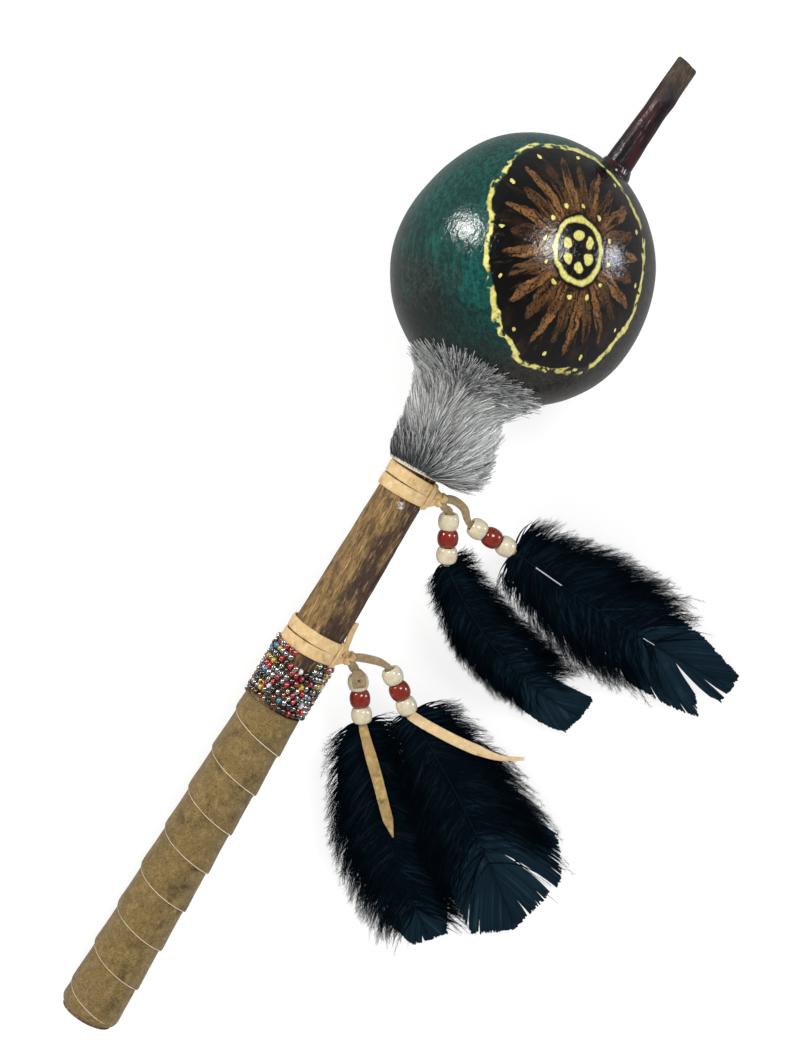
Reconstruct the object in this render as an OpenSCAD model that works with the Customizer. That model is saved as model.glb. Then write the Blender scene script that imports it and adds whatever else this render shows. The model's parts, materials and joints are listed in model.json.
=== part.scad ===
// Gourd rattle lying on a flat surface: a hollow gourd with loose pebbles on a bent stick,
// a spiral hide grip, a band of seed beads, and four bead and feather drops on two laces.

/* [Stick] */
// Length of the handle from the butt to the shoulder under the gourd
handle_len = 280; // [272:1:300]
// Radius of the handle under the grip
handle_r = 11.8; // [11:0.1:12.4]
// Radius of the handle at the shoulder
shoulder_r = 9.9; // [9.6:0.1:10.4]
// Radius of the spindle inside the gourd
spindle_r = 6.2; // [5.6:0.1:6.4]
// Distance from the shoulder to the natural bend of the stick
bend_at = 51; // [40:1:60]
// Lean of the spindle past the bend, to the right, in degrees
spindle_lean = 3.5; // [0:0.5:4]
// Radius of the bare tip
tip_r = 5; // [4.6:0.1:5.4]
// Length of the straight part of the tip
tip_len = 25; // [18:1:30]
// Length of stick that stands out of the crown of the gourd
crown_reach = 53; // [48:1:70]

/* [Gourd] */
// Radius of the round belly
gourd_r = 55; // [51:0.5:57]
// Distance from the centre of the belly to the crown
crown_h = 56.5; // [53:0.5:60]
// Outer radius of the neck
neck_r = 12; // [11.6:0.1:12.6]
// Distance from the centre of the belly to the rim of the neck
neck_len = 90; // [86:1:96]
// Radius of the hollow curve between neck and belly
neck_curve = 25; // [22:1:30]
// Thickness of the shell
gourd_wall = 3.5; // [3:0.1:3.6]
// Lean of the gourd on the stick, to the left, in degrees
gourd_lean = 3.2; // [0:0.2:3.6]
// Depth of the flat spot that the gourd rests on
spot_depth = 0.7; // [0.4:0.1:1]

/* [Grip] */
// Length of the grip, measured from the butt
grip_len = 160; // [140:1:162]
// Thickness of the hide
hide_t = 1.6; // [1.2:0.1:2]
// Distance between two turns of the spiral
grip_pitch = 20; // [16:0.5:26]
// Rounding of the butt's edge
butt_round = 5; // [2:0.5:6]

/* [Seed beads] */
// Radius of a seed bead
seed_r = 1.25; // [1:0.05:1.3]
// Number of rows in the band
seed_rows = 10; // [6:1:10]

/* [Lace] */
// Width of the lace
lace_w = 5.5; // [4:0.1:6]
// Thickness of the lace
lace_t = 1.2; // [0.8:0.1:1.5]
// Radius of a knot
knot_r = 3.4; // [3:0.1:3.6]

/* [Pony beads] */
// Radius of a pony bead
bead_r = 4.5; // [4:0.1:4.7]
// Length of a pony bead
bead_len = 7; // [6:0.1:7.4]
// Radius of the hole in a pony bead
bead_hole_r = 2.2; // [2.1:0.1:2.5]

/* [Feathers] */
// Length of the upper left feather
upper_left_len = 96; // [80:1:110]
// Length of the upper right feather
upper_right_len = 119; // [90:1:125]
// Length of the lower left feather
lower_left_len = 105; // [85:1:115]
// Length of the lower right feather
lower_right_len = 109; // [85:1:115]
// Half of the thickness of the down at the base of a feather
down_t = 4; // [2:0.5:5]

/* [Fur] */
// Radius of the fur around the neck
fur_r = 19.5; // [18:0.5:21]
// How far the fur stands out more on the right than on the left
fur_shift = 4; // [0:0.5:4.5]

/* [Pebbles] */
// Radius of a pebble
pebble_r = 3; // [2:0.1:3.4]
// Distance between neighbouring pebbles
pebble_pitch = 7.5; // [7.4:0.1:9]

/* [Hidden] */
$fn = 96;
fit = 0.15;
slack = 0.4;

// Places along the stick, measured from the butt
grip_r = handle_r + fit + hide_t;
cap_least = 6;
grip_turns = floor((grip_len - cap_least) / grip_pitch);
cap_len = grip_len - grip_turns * grip_pitch;
band_pitch = 2 * seed_r + fit;
band_end = grip_len + slack + seed_rows * band_pitch;
wrap_len = 2 * lace_w + slack;
lower_wrap_s = band_end + slack;
fur_room = 3.4;
upper_wrap_s = handle_len - fur_room - wrap_len;
taper_s = lower_wrap_s;
knot_ahead = 1.2;
lower_knot_s = lower_wrap_s + wrap_len / 2 + knot_ahead;
upper_knot_s = upper_wrap_s + wrap_len / 2 + knot_ahead;
function stick_r(s) =
    handle_r + (shoulder_r - handle_r) * max(0, s - taper_s) / (handle_len - taper_s);
function wrap_r(s) = stick_r(s) + fit;
lower_knot_out = wrap_r(lower_wrap_s) + lace_t + knot_r + fit;
upper_knot_out = wrap_r(upper_wrap_s) + lace_t + knot_r + fit;

// The gourd's rim sits a little above the shoulder, so that the leaning neck clears it
rim_gap = 0.8;
rim_s = handle_len + rim_gap;
belly_s = rim_s + neck_len * cos(gourd_lean);
belly_y = neck_len * sin(gourd_lean);
belly_z = gourd_r - spot_depth;
hollow_x = neck_r + neck_curve;
hollow_g = -sqrt(pow(gourd_r + neck_curve, 2) - pow(hollow_x, 2));
hollow_from = atan2(-hollow_g, -hollow_x);
belly_from = -acos(hollow_x / (gourd_r + neck_curve));

// The stick tilts so that the butt's edge and the gourd both touch the surface
lever_s = belly_s - butt_round;
lever_r = grip_r - butt_round;
tilt = asin((belly_z - butt_round) / norm([lever_s, lever_r])) - atan2(lever_r, lever_s);
axis_z = belly_z - belly_s * sin(tilt);

// The spindle meets the crown at this distance past the bend
bend_s = handle_len + bend_at;
knuckle_swell = 0.5;
crown_side = belly_y + (belly_s - bend_s) * tan(spindle_lean);
crown_rise = crown_h * sqrt(1 - pow(crown_side / gourd_r, 2));
crown_d = (belly_s + crown_rise - bend_s) / cos(spindle_lean);
tip_d = crown_d + crown_reach;
crown_ring_t = 1.8;
crown_ring_h = 2.5;
tip_s = bend_s + tip_d * cos(spindle_lean);

// The origin is under the middle of the stick, at the bottom
mid_x = ((tip_s + butt_round) * cos(tilt) + (tip_r - lever_r) * sin(tilt) - butt_round) / 2;

// Colours
wood = "sienna";
hide = "tan";
lace_tan = "burlywood";
gourd_green = "darkslategray";
cream = "wheat";
red_brown = "firebrick";
black = "black";

// Drops: each lists its knot, the route of its lace from the knot to the first bead and from the
// last bead on, the angles of its beads and its feather, and the shape of the feather.
// A place on a drop is [along the stick, away from the stick], measured from the knot.
UPPER = [upper_knot_s, upper_knot_out];
LOWER = [lower_knot_s, lower_knot_out];
DROPS = ["upper_left", "upper_right", "lower_left", "lower_right"];
function drop_knot(d) = d < 2 ? UPPER : LOWER;
ROUTES = [
    [[-2.2, 3.4], [-2, 4.8], [-2.6, 6.2]],
    [[2.2, 3.4], [2.6, 7], [1.6, 11], [-1.2, 14], [-2.8, 16.4]],
    [[-2.2, 3.4], [-3, 5], [-3.8, 6.6]],
    [[2.2, 3.4], [3.6, 7], [4.8, 11], [5.2, 14], [5, 17]]
];
TAILS = [
    [],
    [],
    [[-24, 22], [-30, 28], [-40, 38.5], [-50, 48.5], [-59, 58]],
    [[-8, 38], [-7, 46], [-5, 58], [-4, 70], [-4, 82], [-4.5, 91]]
];
BEAD_TURN = [61, 2, 53, 35];
FEATHER_TURN = [18.6, 2.2, 42.2, 30.8];
FEATHER_LEN = [upper_left_len, upper_right_len, lower_left_len, lower_right_len];
FEATHER_W = [17, 22, 17, 15.5];
FEATHER_TIP_W = [8, 9, 7, 13];
FEATHER_BEND = [-12, -2, -4, 3];
TIP_LIFT = [5, 4.5, 5, 5.5];
BEADS = 3;
bead_step = bead_len + 2 * fit;
lace_half_w = 1.5;
lace_thin_w = 0.9;
lace_tip_w = 0.6;
lace_gap = 0.6;
lace_bead_w = 1.35;
lace_half_t = 0.55;
tail_half_w = 2.2;
lace_lift = 0.75;
quill_r = 0.6;
quill_drop = 1;
lace_sides = 8;
feather_sides = 12;
STATIONS = [0, 0.06, 0.12, 0.2, 0.3, 0.42, 0.55, 0.68, 0.8, 0.9, 1];

// Pebbles lie on a grid on the floor of the gourd
PEBBLE_COLS = 4;
PEBBLE_ROWS = 3;
pebble_gap = 0.3;
pebble_reach = gourd_r - gourd_wall - pebble_r - pebble_gap;
PEBBLES = [for (i = [1 : PEBBLE_COLS * PEBBLE_ROWS]) str("pebble_", i < 10 ? "0" : "", i)];

BODY_NODES = [
    "stick", "butt_cap", "grip_wrap", "seed_bead_band", "lower_lace_wrap", "lower_lace_knot",
    "upper_lace_wrap", "upper_lace_knot", "fur_hide", "fur_pile", "gourd_shell", "neck_glue",
    "crown_glue"
];
function bead_name(d, i) = str(DROPS[d], "_bead_", i + 1);

function reversed(list) = [for (i = [len(list) - 1 : -1 : 0]) list[i]];

// Outline of the gourd, shrunk by t, from the crown to the rim
function gourd_outline(t) = concat(
    [for (a = [90 : -6 : 0]) [(gourd_r - t) * cos(a), (crown_h - t) * sin(a)]],
    [for (i = [1 : 10]) (gourd_r - t) * [cos(belly_from * i / 10), sin(belly_from * i / 10)]],
    [for (i = [1 : 12]) let (b = hollow_from + (180 - hollow_from) * i / 12)
        [hollow_x + (neck_curve + t) * cos(b), hollow_g + (neck_curve + t) * sin(b)]],
    [[neck_r - t, -neck_len]]
);

// Outer radius of the gourd at g along its axis, on the lower side
function gourd_side(g) =
    g < hollow_g ? neck_r
    : g < gourd_r * sin(belly_from) ? hollow_x - sqrt(pow(neck_curve, 2) - pow(g - hollow_g, 2))
    : sqrt(pow(gourd_r, 2) - pow(g, 2));

// Places on a drop, in the frame of its knot
function on_drop(p, z = 0) = [p.x, -p.y, z];
function turned(angle) = [-sin(angle), cos(angle)];
function bead_start(d) = let (r = ROUTES[d]) r[len(r) - 1] + turned(BEAD_TURN[d]) * lace_gap;
function bead_place(d, at) = bead_start(d) + turned(BEAD_TURN[d]) * at;
beads_len = BEADS * bead_step;
function feather_place(d, t, side = 0) =
    bead_place(d, beads_len) + turned(FEATHER_TURN[d]) * FEATHER_LEN[d] * t
    + [cos(FEATHER_TURN[d]), sin(FEATHER_TURN[d])] * (FEATHER_BEND[d] * 4 * t * (1 - t) + side);
function feather_half_w(d, t) =
    t < 0.35 ? quill_r + (FEATHER_W[d] - quill_r) * sin(90 * t / 0.35)
    : FEATHER_W[d] + (FEATHER_TIP_W[d] - FEATHER_W[d]) * pow((t - 0.35) / 0.65, 1.6);
function feather_half_t(t) =
    t < 0.2 ? quill_r + (down_t - quill_r) * sin(90 * t / 0.2)
    : down_t + (quill_r - down_t) * pow((t - 0.2) / 0.8, 0.7);

// A drop droops until the tip of its feather is just above the surface
function droop(d) = let (tip = feather_place(d, 1))
    asin((axis_z + (drop_knot(d)[0] + tip.x) * sin(tilt) - TIP_LIFT[d]) / (tip.y * cos(tilt)));

// Stick frame, with x along the handle from the butt, laid down on the surface
module laid() {
    translate([-mid_x, -belly_y, axis_z])
        rotate([0, -tilt, 0])
            children();
}

module along_stick(s) {
    laid()
        translate([s, 0, 0])
            rotate([0, 90, 0])
                children();
}

module on_gourd() {
    laid()
        translate([belly_s, belly_y, 0])
            rotate([0, 0, gourd_lean])
                rotate([0, 90, 0])
                    children();
}

module on_spindle(d) {
    laid()
        translate([bend_s, 0, 0])
            rotate([0, 0, -spindle_lean])
                translate([d, 0, 0])
                    rotate([0, 90, 0])
                        children();
}

module at_knot(d) {
    laid()
        translate([drop_knot(d)[0], -drop_knot(d)[1], 0])
            rotate([droop(d), 0, 0])
                children();
}

module tube(outer, inner, h) {
    difference() {
        cylinder(r = outer, h = h);
        translate([0, 0, -1])
            cylinder(r = inner, h = h + 2);
    }
}

// A flat strip along a list of points, with half its width and half its thickness at each
module strip(points, half_w, half_t, sides) {
    last = len(points) - 1;
    ahead = [for (i = [0 : last]) points[min(i + 1, last)] - points[max(i - 1, 0)]];
    side = [for (a = ahead) [-a.y, a.x, 0] / norm([a.x, a.y])];
    corners = [for (i = [0 : last]) for (j = [0 : sides - 1])
        let (turn = 360 * j / sides)
        points[i] + side[i] * half_w[i] * cos(turn) + [0, 0, half_t[i] * sin(turn)]];
    function corner(i, j) = i * sides + j % sides;
    walls = [for (i = [0 : last - 1]) for (j = [0 : sides - 1]) for (half = [0, 1])
        half == 0 ? [corner(i, j), corner(i + 1, j), corner(i + 1, j + 1)]
        : [corner(i, j), corner(i + 1, j + 1), corner(i, j + 1)]];
    ends = [[for (j = [0 : sides - 1]) j], [for (j = [sides - 1 : -1 : 0]) corner(last, j)]];
    polyhedron(points = corners, faces = concat(walls, ends));
}

module stick() {
    color(wood)
        union() {
            along_stick(0)
                rotate_extrude()
                    polygon([
                        [0, hide_t + fit], [handle_r, hide_t + fit], [handle_r, taper_s],
                        [shoulder_r, handle_len], [spindle_r, handle_len],
                        [spindle_r, bend_s - knuckle_swell], [0, bend_s - knuckle_swell]
                    ]);
            on_spindle(0)
                sphere(r = spindle_r + knuckle_swell);
            on_spindle(0)
                rotate_extrude()
                    polygon([
                        [0, knuckle_swell], [spindle_r, knuckle_swell], [spindle_r, crown_d],
                        [tip_r, tip_d - tip_len], [tip_r, tip_d], [0, tip_d]
                    ]);
        }
}

module butt_cap() {
    color(hide)
        along_stick(0)
            difference() {
                rotate_extrude()
                    polygon(concat(
                        [[0, 0]],
                        [for (a = [-90 : 15 : 0])
                            [lever_r + butt_round * cos(a), butt_round + butt_round * sin(a)]],
                        [[grip_r, cap_len], [0, cap_len]]
                    ));
                translate([0, 0, hide_t])
                    cylinder(r = handle_r + fit, h = cap_len);
            }
}

// The spiral's turns meet at slanted seams
module grip_wrap() {
    start = cap_len + fit;
    seam_w = 0.5;
    seam_lean = atan(grip_pitch / (2 * PI * grip_r));
    color(hide)
        difference() {
            along_stick(start)
                tube(grip_r, handle_r + fit, grip_len - start);
            for (i = [1 : grip_turns - 1])
                difference() {
                    along_stick(start + i * grip_pitch)
                        rotate([seam_lean, 0, 0])
                            cube([4 * grip_r, 4 * grip_r, seam_w], center = true);
                    along_stick(0)
                        cylinder(r = grip_r - hide_t / 2, h = handle_len);
                }
        }
}

module seed_bead_band() {
    color("lightsteelblue")
        for (i = [0 : seed_rows - 1])
            along_stick(grip_len + slack + (i + 0.5) * band_pitch)
                rotate_extrude()
                    translate([handle_r + fit + seed_r, 0])
                        circle(r = seed_r, $fn = 32);
}

// Two turns of lace side by side, with a crease between them
module lace_wrap(s) {
    edge = 0.4;
    color(lace_tan)
        along_stick(s)
            rotate_extrude()
                translate([wrap_r(s), 0])
                    polygon([
                        [0, 0], [lace_t - edge, 0], [lace_t, edge], [lace_t, wrap_len / 2 - edge],
                        [lace_t - edge, wrap_len / 2], [lace_t, wrap_len / 2 + edge],
                        [lace_t, wrap_len - edge], [lace_t - edge, wrap_len], [0, wrap_len]
                    ]);
}

module lace_knot(knot) {
    color(lace_tan)
        laid()
            translate([knot[0], -knot[1], 0])
                sphere(r = knot_r);
}

module gourd_shell() {
    color(gourd_green)
        difference() {
            on_gourd()
                rotate_extrude()
                    polygon(concat(gourd_outline(0), reversed(gourd_outline(gourd_wall))));
            on_spindle(crown_d - crown_h / 2)
                cylinder(r = spindle_r + crown_ring_t + 2 * fit, h = crown_h);
            translate([-gourd_r, -gourd_r, -gourd_r])
                translate([belly_s * cos(tilt) - mid_x, 0, 0])
                    cube([2 * gourd_r, 2 * gourd_r, gourd_r]);
        }
}

module neck_glue() {
    glue_h = 6;
    color("darkkhaki")
        along_stick(rim_s)
            tube(neck_r - gourd_wall - slack, spindle_r + fit, glue_h);
}

module crown_glue() {
    color("maroon")
        on_spindle(crown_d - gourd_wall)
            tube(spindle_r + crown_ring_t, spindle_r + fit, gourd_wall + crown_ring_h);
}

// Outline between the gourd's side and a layer of hide around it
fur_low = -neck_len - rim_gap - 2;
fur_high = gourd_r * sin(belly_from);
FUR_G = [for (i = [0 : 12]) fur_low + (fur_high - fur_low) * i / 12];
// Outline of the fur: shares of its radius and of its length
FUR_SHAPE = [[0.8, 0], [0.95, 0.07], [1, 0.18], [1, 0.58], [1.08, 0.77], [1.2, 0.91], [1.3, 1]];

module fur_hide() {
    color("tan")
        on_gourd()
            rotate_extrude()
                polygon(concat(
                    [for (g = FUR_G) [gourd_side(g) + fit, g]],
                    [for (g = reversed(FUR_G)) [gourd_side(g) + fit + hide_t / 2, g]]
                ));
}

// The hair lies up over the neck and is fuller on the right
module fur_pile() {
    lift = hide_t / 2 + 2 * fit;
    top = fur_high - 1;
    color("gray")
        difference() {
            on_gourd()
                translate([0, -fur_shift, 0])
                    rotate_extrude()
                        polygon(concat(
                            [[0, fur_low]],
                            [for (p = FUR_SHAPE) [fur_r * p.x, fur_low + (top - fur_low) * p.y]],
                            [[0, top]]
                        ));
            on_gourd()
                rotate_extrude()
                    polygon(concat(
                        [[0, fur_low - 1], [gourd_side(fur_low) + lift, fur_low - 1]],
                        [for (g = FUR_G) [gourd_side(g) + lift, g]],
                        [[0, fur_high]]
                    ));
        }
}

// Lace from the knot to the first bead
module drop_lace(d) {
    route = ROUTES[d];
    last = len(route) - 1;
    color(lace_tan)
        at_knot(d)
            strip(
                [for (p = route) on_drop(p, lace_lift)],
                [for (i = [0 : last]) i == 0 ? lace_thin_w : i == last ? lace_tip_w : lace_half_w],
                [for (p = route) lace_half_t],
                lace_sides
            );
}

// Lace through the beads and, on the lower drops, on past them to its free end
module drop_lace_end(d) {
    tail = TAILS[d];
    in_beads = [for (i = [0 : 2]) bead_place(d, fit + (beads_len - 1) * i / 2)];
    width = concat(
        [lace_thin_w, lace_bead_w, lace_bead_w],
        [for (i = [0 : 1 : len(tail) - 1]) i == len(tail) - 1 ? quill_r : tail_half_w]
    );
    color(lace_tan)
        at_knot(d)
            strip(
                [for (p = concat(in_beads, tail)) on_drop(p, lace_lift)],
                width,
                [for (w = width) lace_half_t],
                lace_sides
            );
}

// Barrel-shaped bead with a straight hole
module pony_bead(d, i) {
    rim = bead_r - 1.3;
    color(i == 1 ? red_brown : cream)
        at_knot(d)
            translate(on_drop(bead_place(d, bead_step * (i + 0.5))))
                rotate([0, 0, -90 - BEAD_TURN[d]])
                    rotate([0, 90, 0])
                        rotate_extrude()
                            polygon(concat(
                                [[bead_hole_r, -bead_len / 2]],
                                [for (a = [-90 : 15 : 90])
                                    [rim + (bead_r - rim) * cos(a), bead_len / 2 * sin(a)]],
                                [[bead_hole_r, bead_len / 2]]
                            ));
}

// Feather with its quill in the last bead, full down at the base and a flat cut tip
module feather(d) {
    quill = [for (back = [bead_len / 2, 1]) on_drop(bead_place(d, beads_len - back), -quill_drop)];
    vane = [for (t = STATIONS) on_drop(feather_place(d, t), -quill_drop - feather_half_t(t) + quill_r)];
    color(black)
        at_knot(d)
            strip(
                concat(quill, vane),
                concat([quill_r, quill_r], [for (t = STATIONS) feather_half_w(d, t)]),
                concat([quill_r, quill_r], [for (t = STATIONS) feather_half_t(t)]),
                feather_sides
            );
}

function pebble_place(i) =
    let (
        x = (i % PEBBLE_COLS - (PEBBLE_COLS - 1) / 2) * pebble_pitch,
        y = (floor(i / PEBBLE_COLS) - (PEBBLE_ROWS - 1) / 2) * pebble_pitch
    )
    [belly_s * cos(tilt) - mid_x + x, y, belly_z - sqrt(pow(pebble_reach, 2) - x * x - y * y)];

module pebble(i) {
    color("slategray")
        translate(pebble_place(i))
            sphere(r = pebble_r);
}

stick();
butt_cap();
grip_wrap();
seed_bead_band();
lace_wrap(lower_wrap_s);  // lower_lace_wrap
lace_knot(LOWER);  // lower_lace_knot
lace_wrap(upper_wrap_s);  // upper_lace_wrap
lace_knot(UPPER);  // upper_lace_knot
fur_hide();
fur_pile();
gourd_shell();
neck_glue();
crown_glue();
for (d = [0 : 3]) {
    drop_lace(d);
    drop_lace_end(d);
    feather(d);
    for (i = [0 : BEADS - 1])
        pony_bead(d, i);
}
for (i = [0 : len(PEBBLES) - 1])
    pebble(i);
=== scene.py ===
# %% [markdown]
# A gourd rattle, dressed for looks
#
# The rattle is a dried gourd on a bent stick, with a suede grip, a band of seed beads, a fur
# collar and four drops of lace, beads and black feathers. The solids of every piece come from
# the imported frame. This lesson adds the surfaces, one piece and one finish at a time.

# %% Load the frame
import json
import math
import random

import bmesh
import bpy
from mathutils import Matrix, Vector, noise

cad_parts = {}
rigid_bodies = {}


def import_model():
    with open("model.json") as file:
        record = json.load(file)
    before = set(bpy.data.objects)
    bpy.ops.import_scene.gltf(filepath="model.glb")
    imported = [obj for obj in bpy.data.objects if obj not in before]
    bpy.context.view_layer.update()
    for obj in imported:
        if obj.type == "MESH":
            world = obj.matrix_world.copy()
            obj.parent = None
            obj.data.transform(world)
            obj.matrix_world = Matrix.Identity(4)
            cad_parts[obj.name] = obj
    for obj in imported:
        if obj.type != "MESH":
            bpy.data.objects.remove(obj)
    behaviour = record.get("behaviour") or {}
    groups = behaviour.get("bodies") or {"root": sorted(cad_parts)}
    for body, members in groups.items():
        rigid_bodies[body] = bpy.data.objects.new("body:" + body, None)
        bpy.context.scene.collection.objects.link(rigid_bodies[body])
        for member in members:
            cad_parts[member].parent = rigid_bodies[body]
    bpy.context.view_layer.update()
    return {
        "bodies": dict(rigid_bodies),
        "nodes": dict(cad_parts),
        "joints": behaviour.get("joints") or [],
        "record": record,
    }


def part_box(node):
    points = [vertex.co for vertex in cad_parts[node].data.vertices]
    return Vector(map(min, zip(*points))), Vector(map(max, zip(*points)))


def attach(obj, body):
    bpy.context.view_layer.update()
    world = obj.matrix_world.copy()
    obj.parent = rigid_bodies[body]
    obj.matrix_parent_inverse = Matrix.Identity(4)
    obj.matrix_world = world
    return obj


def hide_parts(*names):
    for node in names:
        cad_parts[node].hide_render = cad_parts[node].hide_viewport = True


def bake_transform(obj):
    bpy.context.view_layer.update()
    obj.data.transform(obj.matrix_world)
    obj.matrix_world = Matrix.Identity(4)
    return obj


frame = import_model()

# %% [markdown]
# Places on the stick
#
# The stick lies with its butt on the table and its other end lifted by the gourd, so nothing
# is square to the room. The frame's mounts say where the butt is and which way the stick runs.
# With those, a place is given in millimetres along the stick, to its left and above it.

# %% Directions and places
MM = 0.001
mounts = {mount["name"]: mount for mount in frame["record"]["mounts"]}
joints = {joint["name"]: joint for joint in frame["joints"]}
BUTT = Vector(mounts["butt_face"]["pos_m"])
ALONG = -Vector(mounts["grip"]["axis"])
LEFT = Vector((0, 1, 0))
ABOVE = ALONG.cross(LEFT)


def on_stick(s, y=0.0, z=0.0):
    """A place in millimetres: along the stick from its butt, to the left, and above its axis."""
    return BUTT + (ALONG * s + LEFT * y + ABOVE * z) * MM


def around_stick(s, turn, radius):
    """A place around the stick: turn 0 is on the right, a quarter turn is on top."""
    angle = turn * math.tau
    return on_stick(s, -radius * math.cos(angle), radius * math.sin(angle))


GOURD_R = 55
SPOT_DEPTH = 0.7
CROWN_H = 56.5
NECK_R = 12
NECK_REACH = 90
NECK_CURVE = 25
GOURD_LEAN = math.radians(3.2)
GOURD = Vector((mounts["ground_spot"]["pos_m"][0], 0, (GOURD_R - SPOT_DEPTH) * MM))
GOURD_UP = (ALONG * math.cos(GOURD_LEAN) + LEFT * math.sin(GOURD_LEAN)).normalized()
GOURD_LEFT = GOURD_UP.cross(ABOVE) * -1


def on_gourd(g, turn, radius):
    """A place around the gourd's own axis, g millimetres above the middle of its belly."""
    angle = turn * math.tau
    side = -GOURD_LEFT * math.cos(angle) + ABOVE * math.sin(angle)
    return GOURD + (GOURD_UP * g + side * radius) * MM


print("butt at", [round(v, 4) for v in BUTT], "gourd at", [round(v, 4) for v in GOURD])

# %% [markdown]
# Camera, floor and light
#
# The photograph looks straight down from about a metre. The picture's upward direction runs
# up the stick and a little to its left. A white floor that also shines for the camera gives the
# pale ground. Three soft lamps stand where the gloss on the gourd shows windows. Two wide panels
# fill the shadows and are left out of reflections, and the room itself is dim, so that the gloss
# stays deep between the windows.

# %% Camera
PHOTO_H = 1059
MM_PER_PIXEL = 0.44
CAMERA_HEIGHT = 1.0
PICTURE_RIGHT = Vector((0.519, -0.8547, 0)).normalized()
PICTURE_UP = Vector((0.8547, 0.519, 0)).normalized()
PICTURE_MIDDLE = Vector((0.0121, -0.0111, 0))
SENSOR_MM = 24
NEAREST = 0.05

camera = bpy.data.objects.new("camera", bpy.data.cameras.new("camera"))
bpy.context.scene.collection.objects.link(camera)
camera.data.sensor_fit = "VERTICAL"
camera.data.sensor_height = SENSOR_MM
camera.data.lens = SENSOR_MM * CAMERA_HEIGHT / (PHOTO_H * MM_PER_PIXEL * MM)
camera.data.clip_start = NEAREST
turn = Matrix((PICTURE_RIGHT, PICTURE_UP, Vector((0, 0, 1)))).transposed()
camera.matrix_world = Matrix.Translation(PICTURE_MIDDLE + Vector((0, 0, CAMERA_HEIGHT))) @ turn.to_4x4()
bpy.context.scene.camera = camera
print("lens", round(camera.data.lens, 2), "mm")


# %% Helpers for node trees
def add(tree, kind, inputs=None, **settings):
    """Adds a node, sets its settings, and sets or links its inputs."""
    made = tree.nodes.new(kind)
    for key, value in settings.items():
        setattr(made, key, value)
    for key, value in (inputs or {}).items():
        socket = made.inputs[key]
        if isinstance(value, bpy.types.NodeSocket):
            tree.links.new(value, socket)
        else:
            socket.default_value = value
    return made


def math_node(tree, operation, a, b=0.0):
    return add(tree, "ShaderNodeMath", {0: a, 1: b}, operation=operation).outputs[0]


def times(tree, a, b):
    return math_node(tree, "MULTIPLY", a, b)


def plus(tree, a, b):
    return math_node(tree, "ADD", a, b)


def less(tree, a, b):
    return math_node(tree, "SUBTRACT", a, b)


def vector_node(tree, operation, a, b=(0, 0, 0)):
    return add(tree, "ShaderNodeVectorMath", {0: a, 1: b}, operation=operation).outputs["Vector"]


def along_way(tree, vector, way):
    """How far a vector reaches in a direction."""
    inputs = {0: vector, 1: tuple(way)}
    return add(tree, "ShaderNodeVectorMath", inputs, operation="DOT_PRODUCT").outputs["Value"]


def scaled(tree, vector, size):
    return add(tree, "ShaderNodeVectorMath", {0: vector, "Scale": size}, operation="SCALE").outputs[0]


# %% Lamps
def soft_lamp(name, place, aim, size, watts, colour):
    data = bpy.data.lights.new(name, "AREA")
    data.shape = "RECTANGLE"
    data.size, data.size_y = size
    data.energy = watts
    data.color = colour
    lamp = bpy.data.objects.new(name, data)
    bpy.context.scene.collection.objects.link(lamp)
    lamp.location = place
    lamp.rotation_euler = (aim - place).to_track_quat("-Z", "Y").to_euler()
    return lamp


def from_gourd(right, above, height):
    return GOURD + PICTURE_RIGHT * right + PICTURE_UP * above + Vector((0, 0, height))


TABLE_MIDDLE = Vector((0, -0.05, 0.02))
soft_lamp("window_left", from_gourd(-1.1, 0.72, 0.8), TABLE_MIDDLE, (0.26, 0.46), 13, (1, 0.98, 0.95))
soft_lamp("window_above", from_gourd(0.53, 0.35, 1.35), GOURD, (0.32, 0.46), 9, (1, 1, 1))
soft_lamp("window_right", from_gourd(1.5, 0.16, 0.32), GOURD, (0.24, 0.36), 6, (0.74, 0.83, 1))
fills = [
    soft_lamp("fill_near", from_gourd(-0.1, -1.7, 1.1), TABLE_MIDDLE, (1.6, 0.7), 12.5, (1, 1, 1)),
    soft_lamp("fill_above", from_gourd(-0.3, -0.4, 1.7), TABLE_MIDDLE, (1.4, 1.4), 9, (1, 1, 1)),
]
for lamp in fills:
    lamp.visible_glossy = False


# %% Floor
def shines_for_camera(tree, shaded, white, mirrored):
    """Mixes a shader with plain white for the camera, and with a dimmer one for what mirrors it."""
    path = add(tree, "ShaderNodeLightPath")
    seen = math_node(tree, "MAXIMUM", path.outputs["Is Camera Ray"], path.outputs["Is Transmission Ray"])
    shown = add(tree, "ShaderNodeMixShader", {0: seen, 1: shaded, 2: white}).outputs[0]
    mirror = path.outputs["Is Glossy Ray"]
    return add(tree, "ShaderNodeMixShader", {0: mirror, 1: shown, 2: mirrored}).outputs[0]


FLOOR_REACH = 6
FLOOR_SINK = 0.0002
FLOOR_SHINE = 0.8
MIRRORED_FLOOR = 0.3
WHITE = (1, 1, 1, 1)
corners = [(x * FLOOR_REACH, y * FLOOR_REACH, 0) for x, y in ((-1, -1), (1, -1), (1, 1), (-1, 1))]
floor_mesh = bpy.data.meshes.new("floor")
floor_mesh.from_pydata(corners, [], [(0, 1, 2, 3)])
floor = bpy.data.objects.new("floor", floor_mesh)
bpy.context.scene.collection.objects.link(floor)
floor.location.z = -FLOOR_SINK
paper = bpy.data.materials.new("white_paper")
paper.use_nodes = True
tree = paper.node_tree
tree.nodes.clear()
matt = add(tree, "ShaderNodeBsdfDiffuse", {"Color": (0.9, 0.9, 0.9, 1)}).outputs[0]
pale = add(tree, "ShaderNodeBsdfDiffuse", {"Color": (0.28, 0.28, 0.28, 1)}).outputs[0]
glow = add(tree, "ShaderNodeEmission", {"Color": WHITE, "Strength": FLOOR_SHINE}).outputs[0]
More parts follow.
